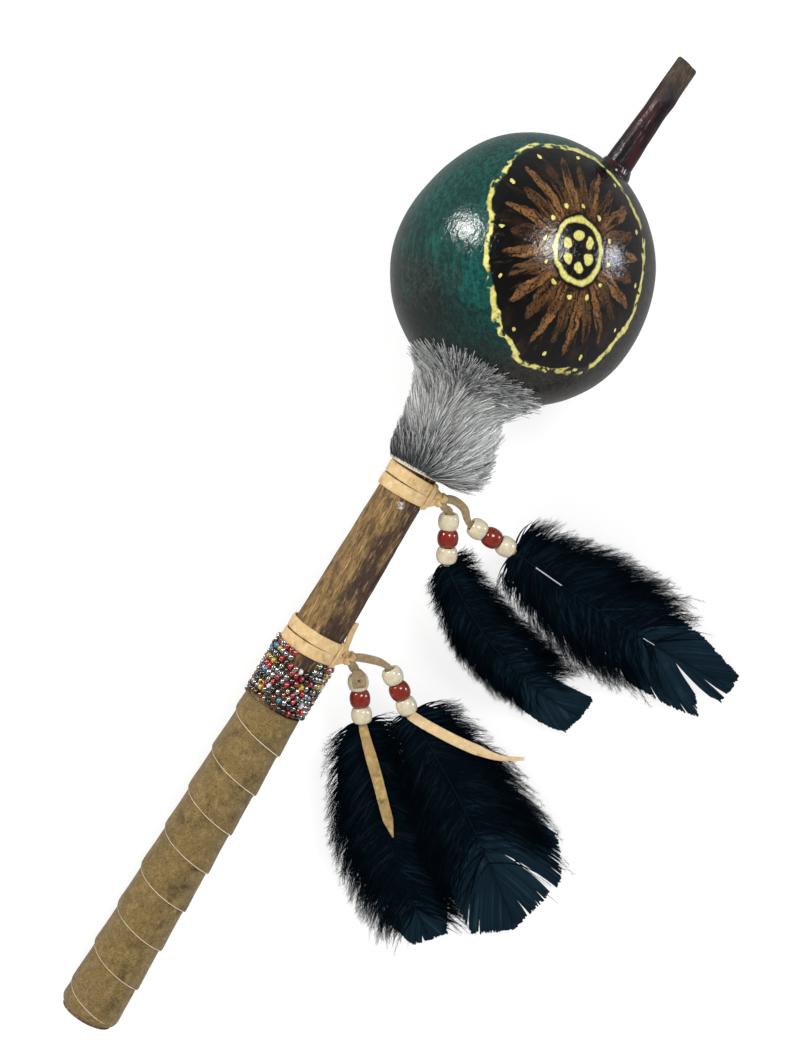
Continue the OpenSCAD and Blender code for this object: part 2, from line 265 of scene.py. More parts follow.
lit = add(tree, "ShaderNodeAddShader", {0: pale, 1: glow}).outputs[0]
dim = add(tree, "ShaderNodeEmission", {"Color": WHITE, "Strength": MIRRORED_FLOOR}).outputs[0]
surface = shines_for_camera(tree, matt, lit, dim)
add(tree, "ShaderNodeOutputMaterial", {"Surface": surface})
floor_mesh.materials.append(paper)
print("floor:", 2 * FLOOR_REACH, "m wide")

# %% Room light
world = bpy.data.worlds.new("room")
bpy.context.scene.world = world
world.use_nodes = True
tree = world.node_tree
tree.nodes.clear()
WALL_LIGHT = 0.28
CEILING_LIGHT = 0.1
looking = add(tree, "ShaderNodeTexCoord").outputs["Generated"]
height = add(tree, "ShaderNodeSeparateXYZ", {0: looking}).outputs["Z"]
level = {"Value": height, "From Min": 0.25, "From Max": 0.9, "To Min": WALL_LIGHT, "To Max": CEILING_LIGHT}
strength = add(tree, "ShaderNodeMapRange", level).outputs[0]
sky = add(tree, "ShaderNodeBackground", {"Color": WHITE, "Strength": strength}).outputs[0]
add(tree, "ShaderNodeOutputWorld", {"Surface": sky})
bpy.context.scene.view_settings.view_transform = "Standard"
print("room light:", WALL_LIGHT, "at the walls,", CEILING_LIGHT, "above")

# %% [markdown]
# Finishes
#
# Every finish is a Principled shader fed by noise in the object's own coordinates, so nothing
# slides when a body moves. Two effects serve many finishes and are node groups: cloudy patches,
# which give a mask, and fine grain, which gives a height for a bump. Colours are written as they
# look on a screen, from 0 to 255, and turned into the linear values that the shader wants.


# %% Colour and material helpers
def tone(red, green, blue):
    """A screen colour as a linear colour with full alpha."""
    linear = [((v / 255 + 0.055) / 1.055) ** 2.4 if v > 10 else v / 255 / 12.92 for v in (red, green, blue)]
    return (*linear, 1)


def new_group(name, inputs, outputs):
    """A shader node group with float or vector inputs and float outputs."""
    group = bpy.data.node_groups.new(name, "ShaderNodeTree")
    for title, value in inputs.items():
        kind = "NodeSocketVector" if value is None else "NodeSocketFloat"
        socket = group.interface.new_socket(title, in_out="INPUT", socket_type=kind)
        if value is not None:
            socket.default_value = value
    for title in outputs:
        group.interface.new_socket(title, in_out="OUTPUT", socket_type="NodeSocketFloat")
    return group, group.nodes.new("NodeGroupInput").outputs, group.nodes.new("NodeGroupOutput").inputs


def smooth_step(tree, value, low, high):
    """0 below low, 1 above high and smooth between; low may be above high."""
    inputs = {"Value": value, "From Min": low, "From Max": high}
    return add(tree, "ShaderNodeMapRange", inputs, interpolation_type="SMOOTHSTEP").outputs[0]


def noise_node(tree, vector, scale, detail=4.0, rough=0.55):
    inputs = {"Vector": vector, "Scale": scale, "Detail": detail, "Roughness": rough}
    return add(tree, "ShaderNodeTexNoise", inputs).outputs[0]


def shake(tree, vector, scale, detail, amount):
    """A small push whose direction changes from place to place."""
    push = add(tree, "ShaderNodeTexNoise", {"Vector": vector, "Scale": scale, "Detail": detail}).outputs[1]
    return scaled(tree, vector_node(tree, "SUBTRACT", push, (0.5, 0.5, 0.5)), amount)


# %% Patches and grain
patch_inputs = {"Vector": None, "Scale": 60, "Low": 0.4, "High": 0.6}
patches, given, out = new_group("cloudy_patches", patch_inputs, ["Mask"])
cloud = noise_node(patches, given["Vector"], given["Scale"], 5.0, 0.6)
patches.links.new(smooth_step(patches, cloud, given["Low"], given["High"]), out["Mask"])

grain, given, out = new_group("fine_grain", {"Vector": None, "Scale": 900, "Sharp": 0.5}, ["Height"])
soft = noise_node(grain, given["Vector"], given["Scale"], 3.0, 0.6)
pits = add(grain, "ShaderNodeTexVoronoi", {"Vector": given["Vector"], "Scale": given["Scale"]}).outputs[0]
height = add(grain, "ShaderNodeMix", {0: given["Sharp"], 2: soft, 3: pits}).outputs[0]
grain.links.new(height, out["Height"])


def cloud_mask(tree, place, scale, low, high):
    """Where cloudy patches lie, from 0 to 1."""
    inputs = {"Vector": place, "Scale": scale, "Low": low, "High": high}
    return add(tree, "ShaderNodeGroup", inputs, node_tree=patches).outputs[0]


def grain_height(tree, place, scale, sharp):
    """The height of a fine grain, for a bump."""
    inputs = {"Vector": place, "Scale": scale, "Sharp": sharp}
    return add(tree, "ShaderNodeGroup", inputs, node_tree=grain).outputs[0]


def mix(tree, mask, below, over, blend="MIX"):
    """Lays one colour over another where the mask is 1."""
    inputs = {0: mask, 6: below, 7: over}
    return add(tree, "ShaderNodeMix", inputs, data_type="RGBA", blend_type=blend).outputs[2]


print("groups:", [group.name for group in bpy.data.node_groups])


# %% Finish helpers
def new_finish(name, **sockets):
    """A material with a Principled shader; plain values go straight on its own sockets."""
    material = bpy.data.materials.new(name)
    material.use_nodes = True
    tree = material.node_tree
    tree.nodes.clear()
    shader = add(tree, "ShaderNodeBsdfPrincipled")
    add(tree, "ShaderNodeOutputMaterial", {"Surface": shader.outputs[0]})
    for key, value in sockets.items():
        shader.inputs[key.replace("_", " ")].default_value = value
    place = add(tree, "ShaderNodeTexCoord").outputs["Object"]
    return material, tree, shader, place


def set_bump(tree, shader, height, distance):
    bump = add(tree, "ShaderNodeBump", {"Height": height, "Distance": distance, "Strength": 1.0})
    tree.links.new(bump.outputs[0], shader.inputs["Normal"])


def stored(tree, title):
    """A number that was kept on the mesh under a name."""
    return add(tree, "ShaderNodeAttribute", attribute_name=title).outputs["Fac"]


def cloudy_finish(name, base, cloud, patch, nap, **sockets):
    """Clouds of a second colour, as (scale, low, high), over a grain, as (scale, sharp, depth)."""
    material, tree, shader, place = new_finish(name, **sockets)
    clouds = cloud_mask(tree, place, *patch)
    tree.links.new(mix(tree, clouds, base, cloud), shader.inputs["Base Color"])
    set_bump(tree, shader, grain_height(tree, place, *nap[:2]), nap[2])
    return material


def stretched(tree, place, direction, squeeze):
    """Object coordinates squeezed along a direction, so that noise runs in streaks along it."""
    run = along_way(tree, place, direction)
    shift = scaled(tree, scaled(tree, tuple(direction), run), 1 - squeeze)
    return vector_node(tree, "SUBTRACT", place, shift)


# %% [markdown]
# Leather finishes
#
# The grip is khaki suede, rubbed dark where hands hold it, and the laces are pale tan leather
# stained in places. Suede has a nap: painted shade that darkens the colour in its hollows, a fine
# bump, a very rough surface and a little sheen. The cut edges are paler, so they are a finish of their own.


# %% Suede and lace
def leather(name, base, dark, light, patch_scale, grain_scale, roughness, depth, nap_hollow_shade):
    """Leather with stains, pale rubbed places, and a fine nap whose hollows get painted shade."""
    material, tree, shader, place = new_finish(name, Roughness=roughness, Sheen_Weight=0.12)
    stains = cloud_mask(tree, place, patch_scale, 0.5, 0.76)
    rubbed = cloud_mask(tree, place, patch_scale * 2.2, 0.42, 0.72)
    nap = grain_height(tree, place, grain_scale, 0.25)
    colour = mix(tree, rubbed, tone(*base), tone(*light))
    colour = mix(tree, stains, colour, tone(*dark))
    # Painted shade: the colour is darkened where the nap is low, in the hollows of its grain.
    hollow_shade_colour = (nap_hollow_shade, nap_hollow_shade * 0.98, nap_hollow_shade * 0.95, 1)
    shade = mix(tree, smooth_step(tree, nap, 0.3, 0.62), hollow_shade_colour, WHITE)
    colour = mix(tree, 1.0, colour, shade, "MULTIPLY")
    tree.links.new(colour, shader.inputs["Base Color"])
    set_bump(tree, shader, nap, depth)
    return material


# Base, stains, rubbed places, scale of patches, scale of nap, roughness, depth of nap, darkest painted shade
# in the nap's hollows
LEATHERS = {
    "suede": ((130, 108, 63), (86, 70, 39), (152, 128, 81), 130, 1300, 0.92, 0.0003, 0.46),
    "suede_edge": ((222, 206, 180), (190, 166, 132), (236, 224, 204), 160, 1800, 0.95, 0.0001, 0.85),
    "lace_leather": ((218, 185, 130), (166, 130, 82), (232, 205, 156), 170, 1400, 0.7, 0.00006, 0.9),
    "fur_hide": ((226, 214, 194), (190, 168, 140), (240, 232, 216), 240, 1300, 0.9, 0.0001, 0.85),
    "lace_worn": ((144, 124, 92), (98, 82, 58), (168, 146, 110), 260, 1300, 0.75, 0.00008, 0.85),
    "lace_stained": ((170, 140, 88), (92, 72, 44), (198, 168, 112), 170, 1100, 0.8, 0.0001, 0.8),
    "lace_dry": ((218, 187, 138), (172, 140, 96), (230, 205, 162), 170, 1400, 0.75, 0.00006, 0.9),
    "stitch_thread": ((46, 40, 34), (24, 20, 18), (70, 62, 52), 600, 2000, 0.9, 0.00003, 0.8),
}
suede, suede_edge, lace_skin, hide_skin, lace_worn, lace_stained, lace_dry, thread = (
    leather(name, *row) for name, row in LEATHERS.items()
)
print("leathers:", list(LEATHERS))

# %% [markdown]
# Glass and glaze
#
# The pony beads are glossy cream and red-brown. Each has faint clouds in its colour and a hard
# clear gloss from the coat. The seed beads take one of two dozen colours each, by a random
# number that is stored on the bead when it is placed. The last of the colours are lined with
# silver, so those beads are metal and throw small sharp glints.


# %% Pony bead glaze
def glaze(name, base, cloud):
    """A glossy bead with faint clouds and a slight ripple."""
    return cloudy_finish(name, base, cloud, (420, 0.4, 0.7), (380, 0.0, 0.00012),
                         Roughness=0.22, Coat_Weight=0.7, Coat_Roughness=0.06)


bead_cream = glaze("bead_cream", tone(220, 208, 180), tone(204, 190, 158))
bead_red = glaze("bead_red", tone(134, 38, 22), tone(108, 29, 18))
print("glazes:", bead_cream.name, bead_red.name)

# %% Seed bead glass
SEED_COLOURS = [
    (6, 6, 7), (160, 22, 32), (9, 10, 12), (172, 30, 30), (7, 8, 10), (206, 170, 44),
    (196, 28, 42), (84, 20, 22), (8, 9, 10), (176, 30, 36), (16, 18, 20), (58, 140, 176),
    (150, 24, 30), (10, 11, 13), (12, 12, 14), (232, 232, 226),
    (232, 232, 228), (206, 208, 204), (240, 204, 96), (190, 194, 190), (226, 214, 190),
    (214, 216, 214), (236, 238, 236), (198, 200, 196), (206, 120, 78), (228, 230, 230),
]
SILVER_FROM = 16
LINING = 0.88
seed_glass, tree, shader, place = new_finish("seed_beads", Roughness=0.08, Specular_IOR_Level=0.9,
                                             Coat_Weight=1.0, Coat_Roughness=0.02, Coat_IOR=2.0)
pick = stored(tree, "pick")
ramp = add(tree, "ShaderNodeValToRGB", {"Fac": pick})
ramp.color_ramp.interpolation = "CONSTANT"
for index, colour in enumerate(SEED_COLOURS):
    position = index / len(SEED_COLOURS)
    stop = ramp.color_ramp.elements[index] if index < 2 else ramp.color_ramp.elements.new(position)
    stop.position = position
    stop.color = tone(*colour)
silver = SILVER_FROM / len(SEED_COLOURS)
lining = times(tree, smooth_step(tree, pick, silver - 0.001, silver), LINING)
tree.links.new(lining, shader.inputs["Metallic"])
smear = cloud_mask(tree, place, 900, 0.35, 0.7)
shaded = mix(tree, 0.35, ramp.outputs["Color"], (0.25, 0.22, 0.22, 1), "MULTIPLY")
tree.links.new(mix(tree, smear, ramp.outputs["Color"], shaded), shader.inputs["Base Color"])
print("seed bead colours:", len(SEED_COLOURS), "of them lined:", len(SEED_COLOURS) - SILVER_FROM)

# %% [markdown]
# Tubes and ribbons
#
# Many pieces here are one cross-section carried along a path: the lace, the suede strip, the
# stick. A curve with a bevel could do it, but the laces change width and twist, so the rings are
# laid point by point and skinned with quads. The section of a ribbon is a rounded rectangle.


# %% Mesh helpers
def new_piece(name, points, faces, *materials):
    """A mesh object; a closed shape that came out inside out is turned."""
    mesh = bpy.data.meshes.new(name)
    mesh.from_pydata([tuple(point) for point in points], [], faces)
    mesh.shade_smooth()
    shell = bmesh.new()
    shell.from_mesh(mesh)
    if shell.calc_volume(signed=True) < 0:
        mesh.flip_normals()
    shell.free()
    for material in materials:
        mesh.materials.append(material)
    piece = bpy.data.objects.new(name, mesh)
    bpy.context.scene.collection.objects.link(piece)
    return piece


def skin(rows, columns, first=0, caps=True):
    """Quads over a tube of rings, with both ends closed."""
    faces = []
    for i in range(rows - 1):
        for j in range(columns):
            a = first + i * columns + j
            b = first + i * columns + (j + 1) % columns
            faces.append((a, b, b + columns, a + columns))
    if caps:
        faces.append(tuple(first + j for j in reversed(range(columns))))
        faces.append(tuple(first + (rows - 1) * columns + j for j in range(columns)))
    return faces


def ring_skin(rows, columns):
    """Quads over a closed ring: the last row of points joins the first."""
    faces = skin(rows, columns, caps=False)
    last = (rows - 1) * columns
    for k in range(columns):
        after = (k + 1) % columns
        faces.append((last + k, last + after, after, k))
    return faces


def smooth_path(points, steps):
    """A smooth curve through the points, with this many steps between two of them."""
    points = [Vector(point) for point in points]
    ends = [2 * points[0] - points[1]] + points + [2 * points[-1] - points[-2]]
    curve = []
    for i in range(1, len(ends) - 2):
        a, b, c, d = ends[i - 1:i + 3]
        for k in range(steps):
            t = k / steps
            curve.append(0.5 * (2 * b + (c - a) * t + (2 * a - 5 * b + 4 * c - d) * t * t
                                + (3 * b - 3 * c + d - a) * t ** 3))
    return curve + [points[-1]]


def path_length(points):
    return sum((b - a).length for a, b in zip(points, points[1:]))


def evenly(points, count):
    """The same path with its points at equal distances."""
    total = path_length(points)
    spaced, walked, index = [points[0]], 0.0, 0
    for k in range(1, count - 1):
        goal = total * k / (count - 1)
        while walked + (points[index + 1] - points[index]).length < goal:
            walked += (points[index + 1] - points[index]).length
            index += 1
        step = points[index + 1] - points[index]
        spaced.append(points[index] + step * ((goal - walked) / step.length))
    return spaced + [points[-1]]


def between(table, t):
    """Reads a list of (place, value) pairs at t, with straight lines between them."""
    for (t0, v0), (t1, v1) in zip(table, table[1:]):
        if t <= t1:
            return v0 + (v1 - v0) * max(0.0, (t - t0)) / (t1 - t0)
    return table[-1][1]


LACE_CORNERS = 12


def ribbon_rings(path, facing, widths, thick, corners=LACE_CORNERS, square=0.45):
    """Rings of a flat strip: facing gives each ring's upper side."""
    rings = []
    for i, point in enumerate(path):
        ahead = (path[min(i + 1, len(path) - 1)] - path[max(i - 1, 0)]).normalized()
        normal = (facing[i] - ahead * facing[i].dot(ahead)).normalized()
        side = normal.cross(ahead)
        for k in range(corners):
            angle = math.tau * (k + 0.5) / corners
            across = math.copysign(abs(math.cos(angle)) ** square, math.cos(angle))
            over = math.copysign(abs(math.sin(angle)) ** square, math.sin(angle))
            rings.append(point + side * (across * widths[i] / 2) + normal * (over * thick[i] / 2))
    return rings


# %% [markdown]
# The four drops
#
# Each drop is a flat lace from a knot, three pony beads and a feather. The lace is free to hang,
# and it is one ribbon from the knot through the beads to its end.
# The drops lie in planes that droop to the table: a place on a drop is given along the stick,
# away from the stick, and above the drop's plane. The lace crosses the joint at the first bead
# and is attached to no body.

# %% Places on the drops
DROPS = ["upper_left", "upper_right", "lower_left", "lower_right"]
ROUTES = [
    [(-2.2, 3.4), (-2, 4.8), (-2.6, 6.2)],
    [(2.2, 3.4), (2.6, 7), (1.6, 11), (-1.2, 14), (-2.8, 16.4)],
    [(-2.2, 3.4), (-3, 5), (-3.8, 6.6)],
    [(2.2, 3.4), (3.6, 7), (4.8, 11), (5.2, 14), (5, 17)],
]
TAILS = [
    [],
    [],
    [(-24, 22), (-30, 28), (-40, 38.5), (-50, 48.5), (-59, 58)],
    [(-8.5, 38), (-8.5, 46), (-8, 58), (-7, 69), (-5, 79), (0, 88)],
]
BEAD_TURN = [61, 2, 53, 35]
BEAD_STEP = 7.3
LACE_GAP = 0.6
LACE_LIFT = 0.75
BEADS_LEN = 3 * BEAD_STEP
DROP_UP = [Vector(joints[drop + "_sway"]["axis"]) for drop in DROPS]
DROP_OUT = [ALONG.cross(up).normalized() for up in DROP_UP]
KNOTS = [Vector(joints[drop + "_swing"]["pos_m"]) for drop in DROPS]


def turned(angle):
    """A direction on a drop: 0 is straight away from the stick, 90 is toward the butt."""
    return Vector((-math.sin(math.radians(angle)), math.cos(math.radians(angle))))


def on_drop(d, place, height=0.0):
    return KNOTS[d] + (ALONG * place[0] + DROP_OUT[d] * place[1] + DROP_UP[d] * height) * MM


def bead_place(d, distance):
    return Vector(ROUTES[d][-1]) + turned(BEAD_TURN[d]) * (LACE_GAP + distance)


print("first beads at", [[round(v, 2) for v in bead_place(d, 0)] for d in range(4)])


# %% Pony beads
BEAD_PROFILE = [
    (2.2, -2.6), (2.25, -3.2), (2.6, -3.45), (3.1, -3.5), (3.6, -3.2), (4.05, -2.5), (4.35, -1.5),
    (4.5, -0.3), (4.48, 0.6), (4.3, 1.7), (3.95, 2.65), (3.5, 3.3), (3.05, 3.5), (2.55, 3.45),
    (2.25, 3.2), (2.2, 2.6),
]
BEAD_SIDES = 40


def pony_bead(d, n):
    """A moulded barrel bead, each a little different, around the lace."""
    rnd = random.Random(10 * d + n)
    middle = on_drop(d, bead_place(d, BEAD_STEP * (n - 0.5)))
    way = turned(BEAD_TURN[d])
    axis = (ALONG * way[0] + DROP_OUT[d] * way[1]).normalized()
    side = axis.cross(DROP_UP[d]).normalized()
    tilt = Matrix.Rotation(math.radians(rnd.uniform(-4, 4)), 3, side)
    swell, phase = rnd.uniform(0.99, 1.015), rnd.uniform(0, 6)
    points = []
    for radius, along in BEAD_PROFILE:
        for k in range(BEAD_SIDES):
            angle = math.tau * k / BEAD_SIDES
            bulge = swell + 0.012 * math.sin(2 * angle + phase) + 0.006 * math.sin(3 * angle - phase)
            across = side * math.cos(angle) + DROP_UP[d] * math.sin(angle)
            points.append(middle + tilt @ ((across * radius * bulge - axis * along) * MM))
    name = f"{DROPS[d]}_bead_{n}"
    faces = ring_skin(len(BEAD_PROFILE), BEAD_SIDES)
    bead = new_piece(name + "_glazed", points, faces, bead_red if n == 2 else bead_cream)
    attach(bead, DROPS[d] + "_drop")
    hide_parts(name)
    return bead


beads = [[pony_bead(d, n) for n in (1, 2, 3)] for d in range(4)]
print("pony beads:", sum(len(row) for row in beads))

# %% Laces
LACE_T = 1.1
LACE_RINGS = (34, 72)
POKE = 1.2
LACE_WIDTHS = [
    [(0, 3.2), (0.2, 3.4), (0.26, 2.8), (1, 2.6)],
    [(0, 3.2), (0.1, 3.8), (0.3, 3.6), (0.42, 2.8), (1, 2.6)],
    [(0, 3.2), (0.06, 4.2), (0.09, 3.0), (0.32, 2.9), (0.4, 4.0), (0.55, 5.0), (0.9, 4.6), (1, 0.6)],
    [(0, 3.2), (0.06, 3.8), (0.13, 3.6), (0.17, 2.8), (0.36, 2.8),
     (0.43, 4.6), (0.78, 4.7), (0.9, 2.4), (1, 1.3)],
]
TAIL_SAG = [[], [], [0.4, 1.6, 2.2, 1.4, 0.3], [0.5, 1.8, 2.6, 2.0, 2.4, 3.6]]
TAIL_SKIN = [lace_worn, lace_worn, lace_stained, lace_dry]


def lace(d):
    """One ribbon from inside the knot, through the beads, to its cut end."""
    places = [(0, 0)] + ROUTES[d]
    points = [on_drop(d, place, LACE_LIFT) for place in places]
    through = BEADS_LEN if TAILS[d] else BEADS_LEN + POKE
    points += [on_drop(d, bead_place(d, through * k / 4), LACE_LIFT * (1 - 0.5 * k / 4)) for k in range(5)]
    points += [on_drop(d, place, rise) for place, rise in zip(TAILS[d], TAIL_SAG[d])]
    path = evenly(smooth_path(points, 12), LACE_RINGS[1 if TAILS[d] else 0])
    spans = [i / (len(path) - 1) for i in range(len(path))]
    length = path_length(path)
    facing = []
    for t, point in zip(spans, path):
        wave = 0.5 * math.sin(9 * t + d) if TAILS[d] and t > 0.4 else 0.15 * math.sin(11 * t)
        facing.append(DROP_UP[d] + DROP_OUT[d] * 0.12 * wave + ALONG * 0.25 * wave)
    widths = [between(LACE_WIDTHS[d], t) * MM for t in spans]
    thick = [LACE_T * (1 + 0.08 * math.sin(23 * t + d)) * MM for t in spans]
    rings = ribbon_rings(path, facing, widths, thick)
    faces = skin(len(path), LACE_CORNERS)
    strip = new_piece(DROPS[d] + "_lace_strip", rings, faces, lace_worn, TAIL_SKIN[d])
    beyond = path_length(smooth_path(points[:len(places) + 5], 12)) / length * len(path)
    for polygon in strip.data.polygons:
        polygon.material_index = int(polygon.index // LACE_CORNERS > beyond)
    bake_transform(strip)
    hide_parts(DROPS[d] + "_lace", DROPS[d] + "_lace_end")
    return strip


laces = [lace(d) for d in range(4)]
print("laces:", [piece.name for piece in laces])

# %% [markdown]
# The gourd
#
# A dried gourd is a body of revolution that grew: nearly round, with low swellings and a neck
# that narrows into the fur. Its outline is an ellipse for the crown, a circle for the belly and a
# hollow arc into the neck. Soft noise moves the surface by a few tenths of a millimetre, one
# shoulder is fuller than the other, and a small flat rests on the table. The wall is real,
# because pebbles rattle inside.

# %% Gourd shell
GOURD_WALL = 3.5
SHOULDER = 1.8
# Grown unevenly: a direction in the picture (right, up) and how far the shell stands out there, in mm
UNEVEN = [(-0.68, 0.73, -2.7), (0.42, -0.9, 1.0)]
HOLLOW_X = NECK_R + NECK_CURVE
HOLLOW_G = -math.sqrt((GOURD_R + NECK_CURVE) ** 2 - HOLLOW_X ** 2)
BELLY_FROM = -math.acos(HOLLOW_X / (GOURD_R + NECK_CURVE))
HOLLOW_FROM = math.atan2(-HOLLOW_G, -HOLLOW_X)
GOURD_SIDES = 144
CROWN_ROWS, BELLY_ROWS, HOLLOW_ROWS = 40, 28, 16
RIM_G = HOLLOW_G - 8


def gourd_outline(inset):
    """Radius and height of the outline, from the crown down to the rim."""
    outline = []
    for i in range(CROWN_ROWS):
        angle = math.pi / 2 * (1 - (i + 0.25) / CROWN_ROWS)
        outline.append(((GOURD_R - inset) * math.cos(angle), (CROWN_H - inset) * math.sin(angle)))
    for i in range(BELLY_ROWS):
        angle = BELLY_FROM * i / BELLY_ROWS
        outline.append(((GOURD_R - inset) * math.cos(angle), (GOURD_R - inset) * math.sin(angle)))
    for i in range(HOLLOW_ROWS + 1):
        angle = HOLLOW_FROM + (math.pi - HOLLOW_FROM) * i / HOLLOW_ROWS
        reach = NECK_CURVE + inset
        outline.append((HOLLOW_X + reach * math.cos(angle), HOLLOW_G + reach * math.sin(angle)))
    return outline + [(NECK_R - inset, RIM_G), (NECK_R - inset, -NECK_REACH)]


def picture_way(right, up, toward=0.0):
    """A direction in the picture: to its right, up it, and toward the camera."""
    return (PICTURE_RIGHT * right + PICTURE_UP * up + Vector((0, 0, toward))).normalized()


def gourd_points(inset, bumps):
    """Rings of the outer or the inner wall; bumps is 0 for a smooth one."""
    ways = [(picture_way(right, up), rise) for right, up, rise in UNEVEN]
    points = []
    for radius, g in gourd_outline(inset):
        for k in range(GOURD_SIDES):
            point = on_gourd(g, k / GOURD_SIDES, radius)
            out = (point - GOURD).normalized()
            swell = bumps * (0.4 * noise.noise(out * 1.7) + 0.16 * noise.noise(out * 5.0))
            swell += bumps * SHOULDER * max(0.0, out.dot(PICTURE_UP)) ** 1.5
            for way, rise in ways:
                swell += bumps * rise * max(0.0, out.dot(way)) ** 8
            point = point + out * swell * MM
            point.z = max(point.z, 0.0 if bumps else GOURD_WALL * MM)
            points.append(point)
    return points


outer = gourd_points(0, 1)
inner = gourd_points(GOURD_WALL, 0)
rows = len(outer) // GOURD_SIDES
faces = skin(rows, GOURD_SIDES, caps=False)
faces.append(tuple(reversed(range(GOURD_SIDES))))
inside = [tuple(reversed(face)) for face in skin(rows, GOURD_SIDES, first=len(outer), caps=False)]
inside.append(tuple(range(len(outer), len(outer) + GOURD_SIDES)))
rim = (rows - 1) * GOURD_SIDES
for k in range(GOURD_SIDES):
    a, b = rim + k, rim + (k + 1) % GOURD_SIDES
    faces.append((a, b, b + len(outer), a + len(outer)))
gourd = new_piece("painted_gourd", outer + inner, faces + inside)
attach(gourd, "rattle")
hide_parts("gourd_shell")
print("gourd:", len(gourd.data.polygons), "faces")

# %% [markdown]
# Paint on the gourd
#
# The shell is sponged with teal that fades into a smoky brown at the sides and the neck. On its
# upper right it carries a sunburst medallion: a dark field with ochre petals, a pale outline and
# dots. The medallion is drawn with polar coordinates around a direction from the gourd's middle,
# with noise pushed into the coordinates so that its edges look brushed. Varnish on top gives the
# gloss, and its brush marks break up the reflections of the windows.

# %% Medallion coordinates
FIELD_W, FIELD_H = 34, 45
PETALS = 12
field_way = picture_way(0.36, 0.05, 0.93)
field_up = (PICTURE_UP - field_way * PICTURE_UP.dot(field_way)).normalized()
field_right = field_up.cross(field_way)

gourd_paint, tree, shader, place = new_finish("painted_gourd", Specular_IOR_Level=0.55)
out = vector_node(tree, "NORMALIZE", vector_node(tree, "SUBTRACT", place, tuple(GOURD)))
wobble = shake(tree, place, 230, 5, 0.05)
drift = shake(tree, place, 55, 2, 0.09)
brushed = vector_node(tree, "ADD", vector_node(tree, "ADD", out, wobble), drift)
across = times(tree, along_way(tree, brushed, field_right), GOURD_R / FIELD_W)
upward = times(tree, along_way(tree, brushed, field_up), GOURD_R / FIELD_H)
front = smooth_step(tree, along_way(tree, out, field_way), 0.05, 0.1)
squared = plus(tree, math_node(tree, "POWER", across, 2), math_node(tree, "POWER", upward, 2))
ring = math_node(tree, "SQRT", squared)
angle = math_node(tree, "ARCTAN2", upward, across)
print("medallion toward", [round(v, 3) for v in field_way])


# %% Medallion shapes
def band(low, high, soft, value=None):
    """1 where a value lies between two limits."""
    value = ring if value is None else value
    rise = smooth_step(tree, value, low - soft, low + soft)
    fall = smooth_step(tree, value, high + soft, high - soft)
    return times(tree, rise, fall)


def petals(shift, inner_r, outer_r, sharp):
    """A ring of petals, pointed outward."""
    wave = math_node(tree, "COSINE", plus(tree, times(tree, angle, PETALS), shift))
    wave = math_node(tree, "POWER", plus(tree, times(tree, wave, 0.5), 0.5), sharp)
    reach = plus(tree, times(tree, wave, outer_r - inner_r), inner_r)
    inside_petal = smooth_step(tree, less(tree, reach, ring), -0.012, 0.02)
    return times(tree, inside_petal, smooth_step(tree, ring, inner_r - 0.02, inner_r + 0.02))


def dots(count, at, size):
    """A ring of round dots."""
    step = math_node(tree, "FRACT", times(tree, plus(tree, angle, 9.425), count / math.tau))
    along_ring = times(tree, less(tree, step, 0.5), math.tau / count * at)
    away = less(tree, ring, at)
    far = plus(tree, math_node(tree, "POWER", along_ring, 2), math_node(tree, "POWER", away, 2))
    return smooth_step(tree, math_node(tree, "SQRT", far), size * 1.15, size * 0.85)


# %% Teal and smoke
sponge = cloud_mask(tree, place, 520, 0.38, 0.66)
flecks = cloud_mask(tree, place, 1150, 0.5, 0.64)
cloud = cloud_mask(tree, place, 48, 0.36, 0.66)
teal = mix(tree, sponge, tone(14, 66, 62), tone(24, 95, 86))
teal = mix(tree, times(tree, cloud, 0.7), teal, tone(16, 50, 48))
teal = mix(tree, times(tree, flecks, 0.7), teal, tone(7, 27, 27))
bristles = noise_node(tree, stretched(tree, place, PICTURE_UP, 0.14), 620, 5.0, 0.66)
light_stroke = times(tree, smooth_step(tree, bristles, 0.52, 0.64), 0.5)
dark_stroke = times(tree, smooth_step(tree, bristles, 0.5, 0.38), 0.6)
teal = mix(tree, light_stroke, teal, tone(26, 100, 90))
teal = mix(tree, dark_stroke, teal, tone(9, 42, 41))
smoke = mix(tree, sponge, tone(30, 30, 28), tone(58, 53, 47))
smoke = mix(tree, times(tree, flecks, 0.7), smoke, tone(18, 17, 16))
smoke = mix(tree, times(tree, light_stroke, 0.5), smoke, tone(72, 66, 58))
smudge_way = picture_way(-0.88, -0.3, 0.36)
teal_way = picture_way(-0.4, 0.42, 0.55)
lean = along_way(tree, out, teal_way)
ragged = noise_node(tree, place, 60, 4.0)
shift = times(tree, less(tree, ragged, 0.5), 0.4)
colour = mix(tree, smooth_step(tree, plus(tree, lean, shift), 0.12, 0.5), smoke, teal)
smudge = plus(tree, along_way(tree, out, smudge_way), shift)
dusk = times(tree, smooth_step(tree, smudge, 0.72, 1.06), 0.85)
colour = mix(tree, dusk, colour, smoke)
# Darker, nearly black, over a round patch on the lower left of the gourd, just above the fur.
lower_left_dark_way = picture_way(-0.55, -0.62, 0.56)
lower_left_dark = smooth_step(tree, along_way(tree, out, lower_left_dark_way), 0.84, 0.97)
colour = mix(tree, times(tree, lower_left_dark, 0.6), colour, tone(8, 13, 13))
print("teal and smoke:", len(tree.nodes), "nodes so far")

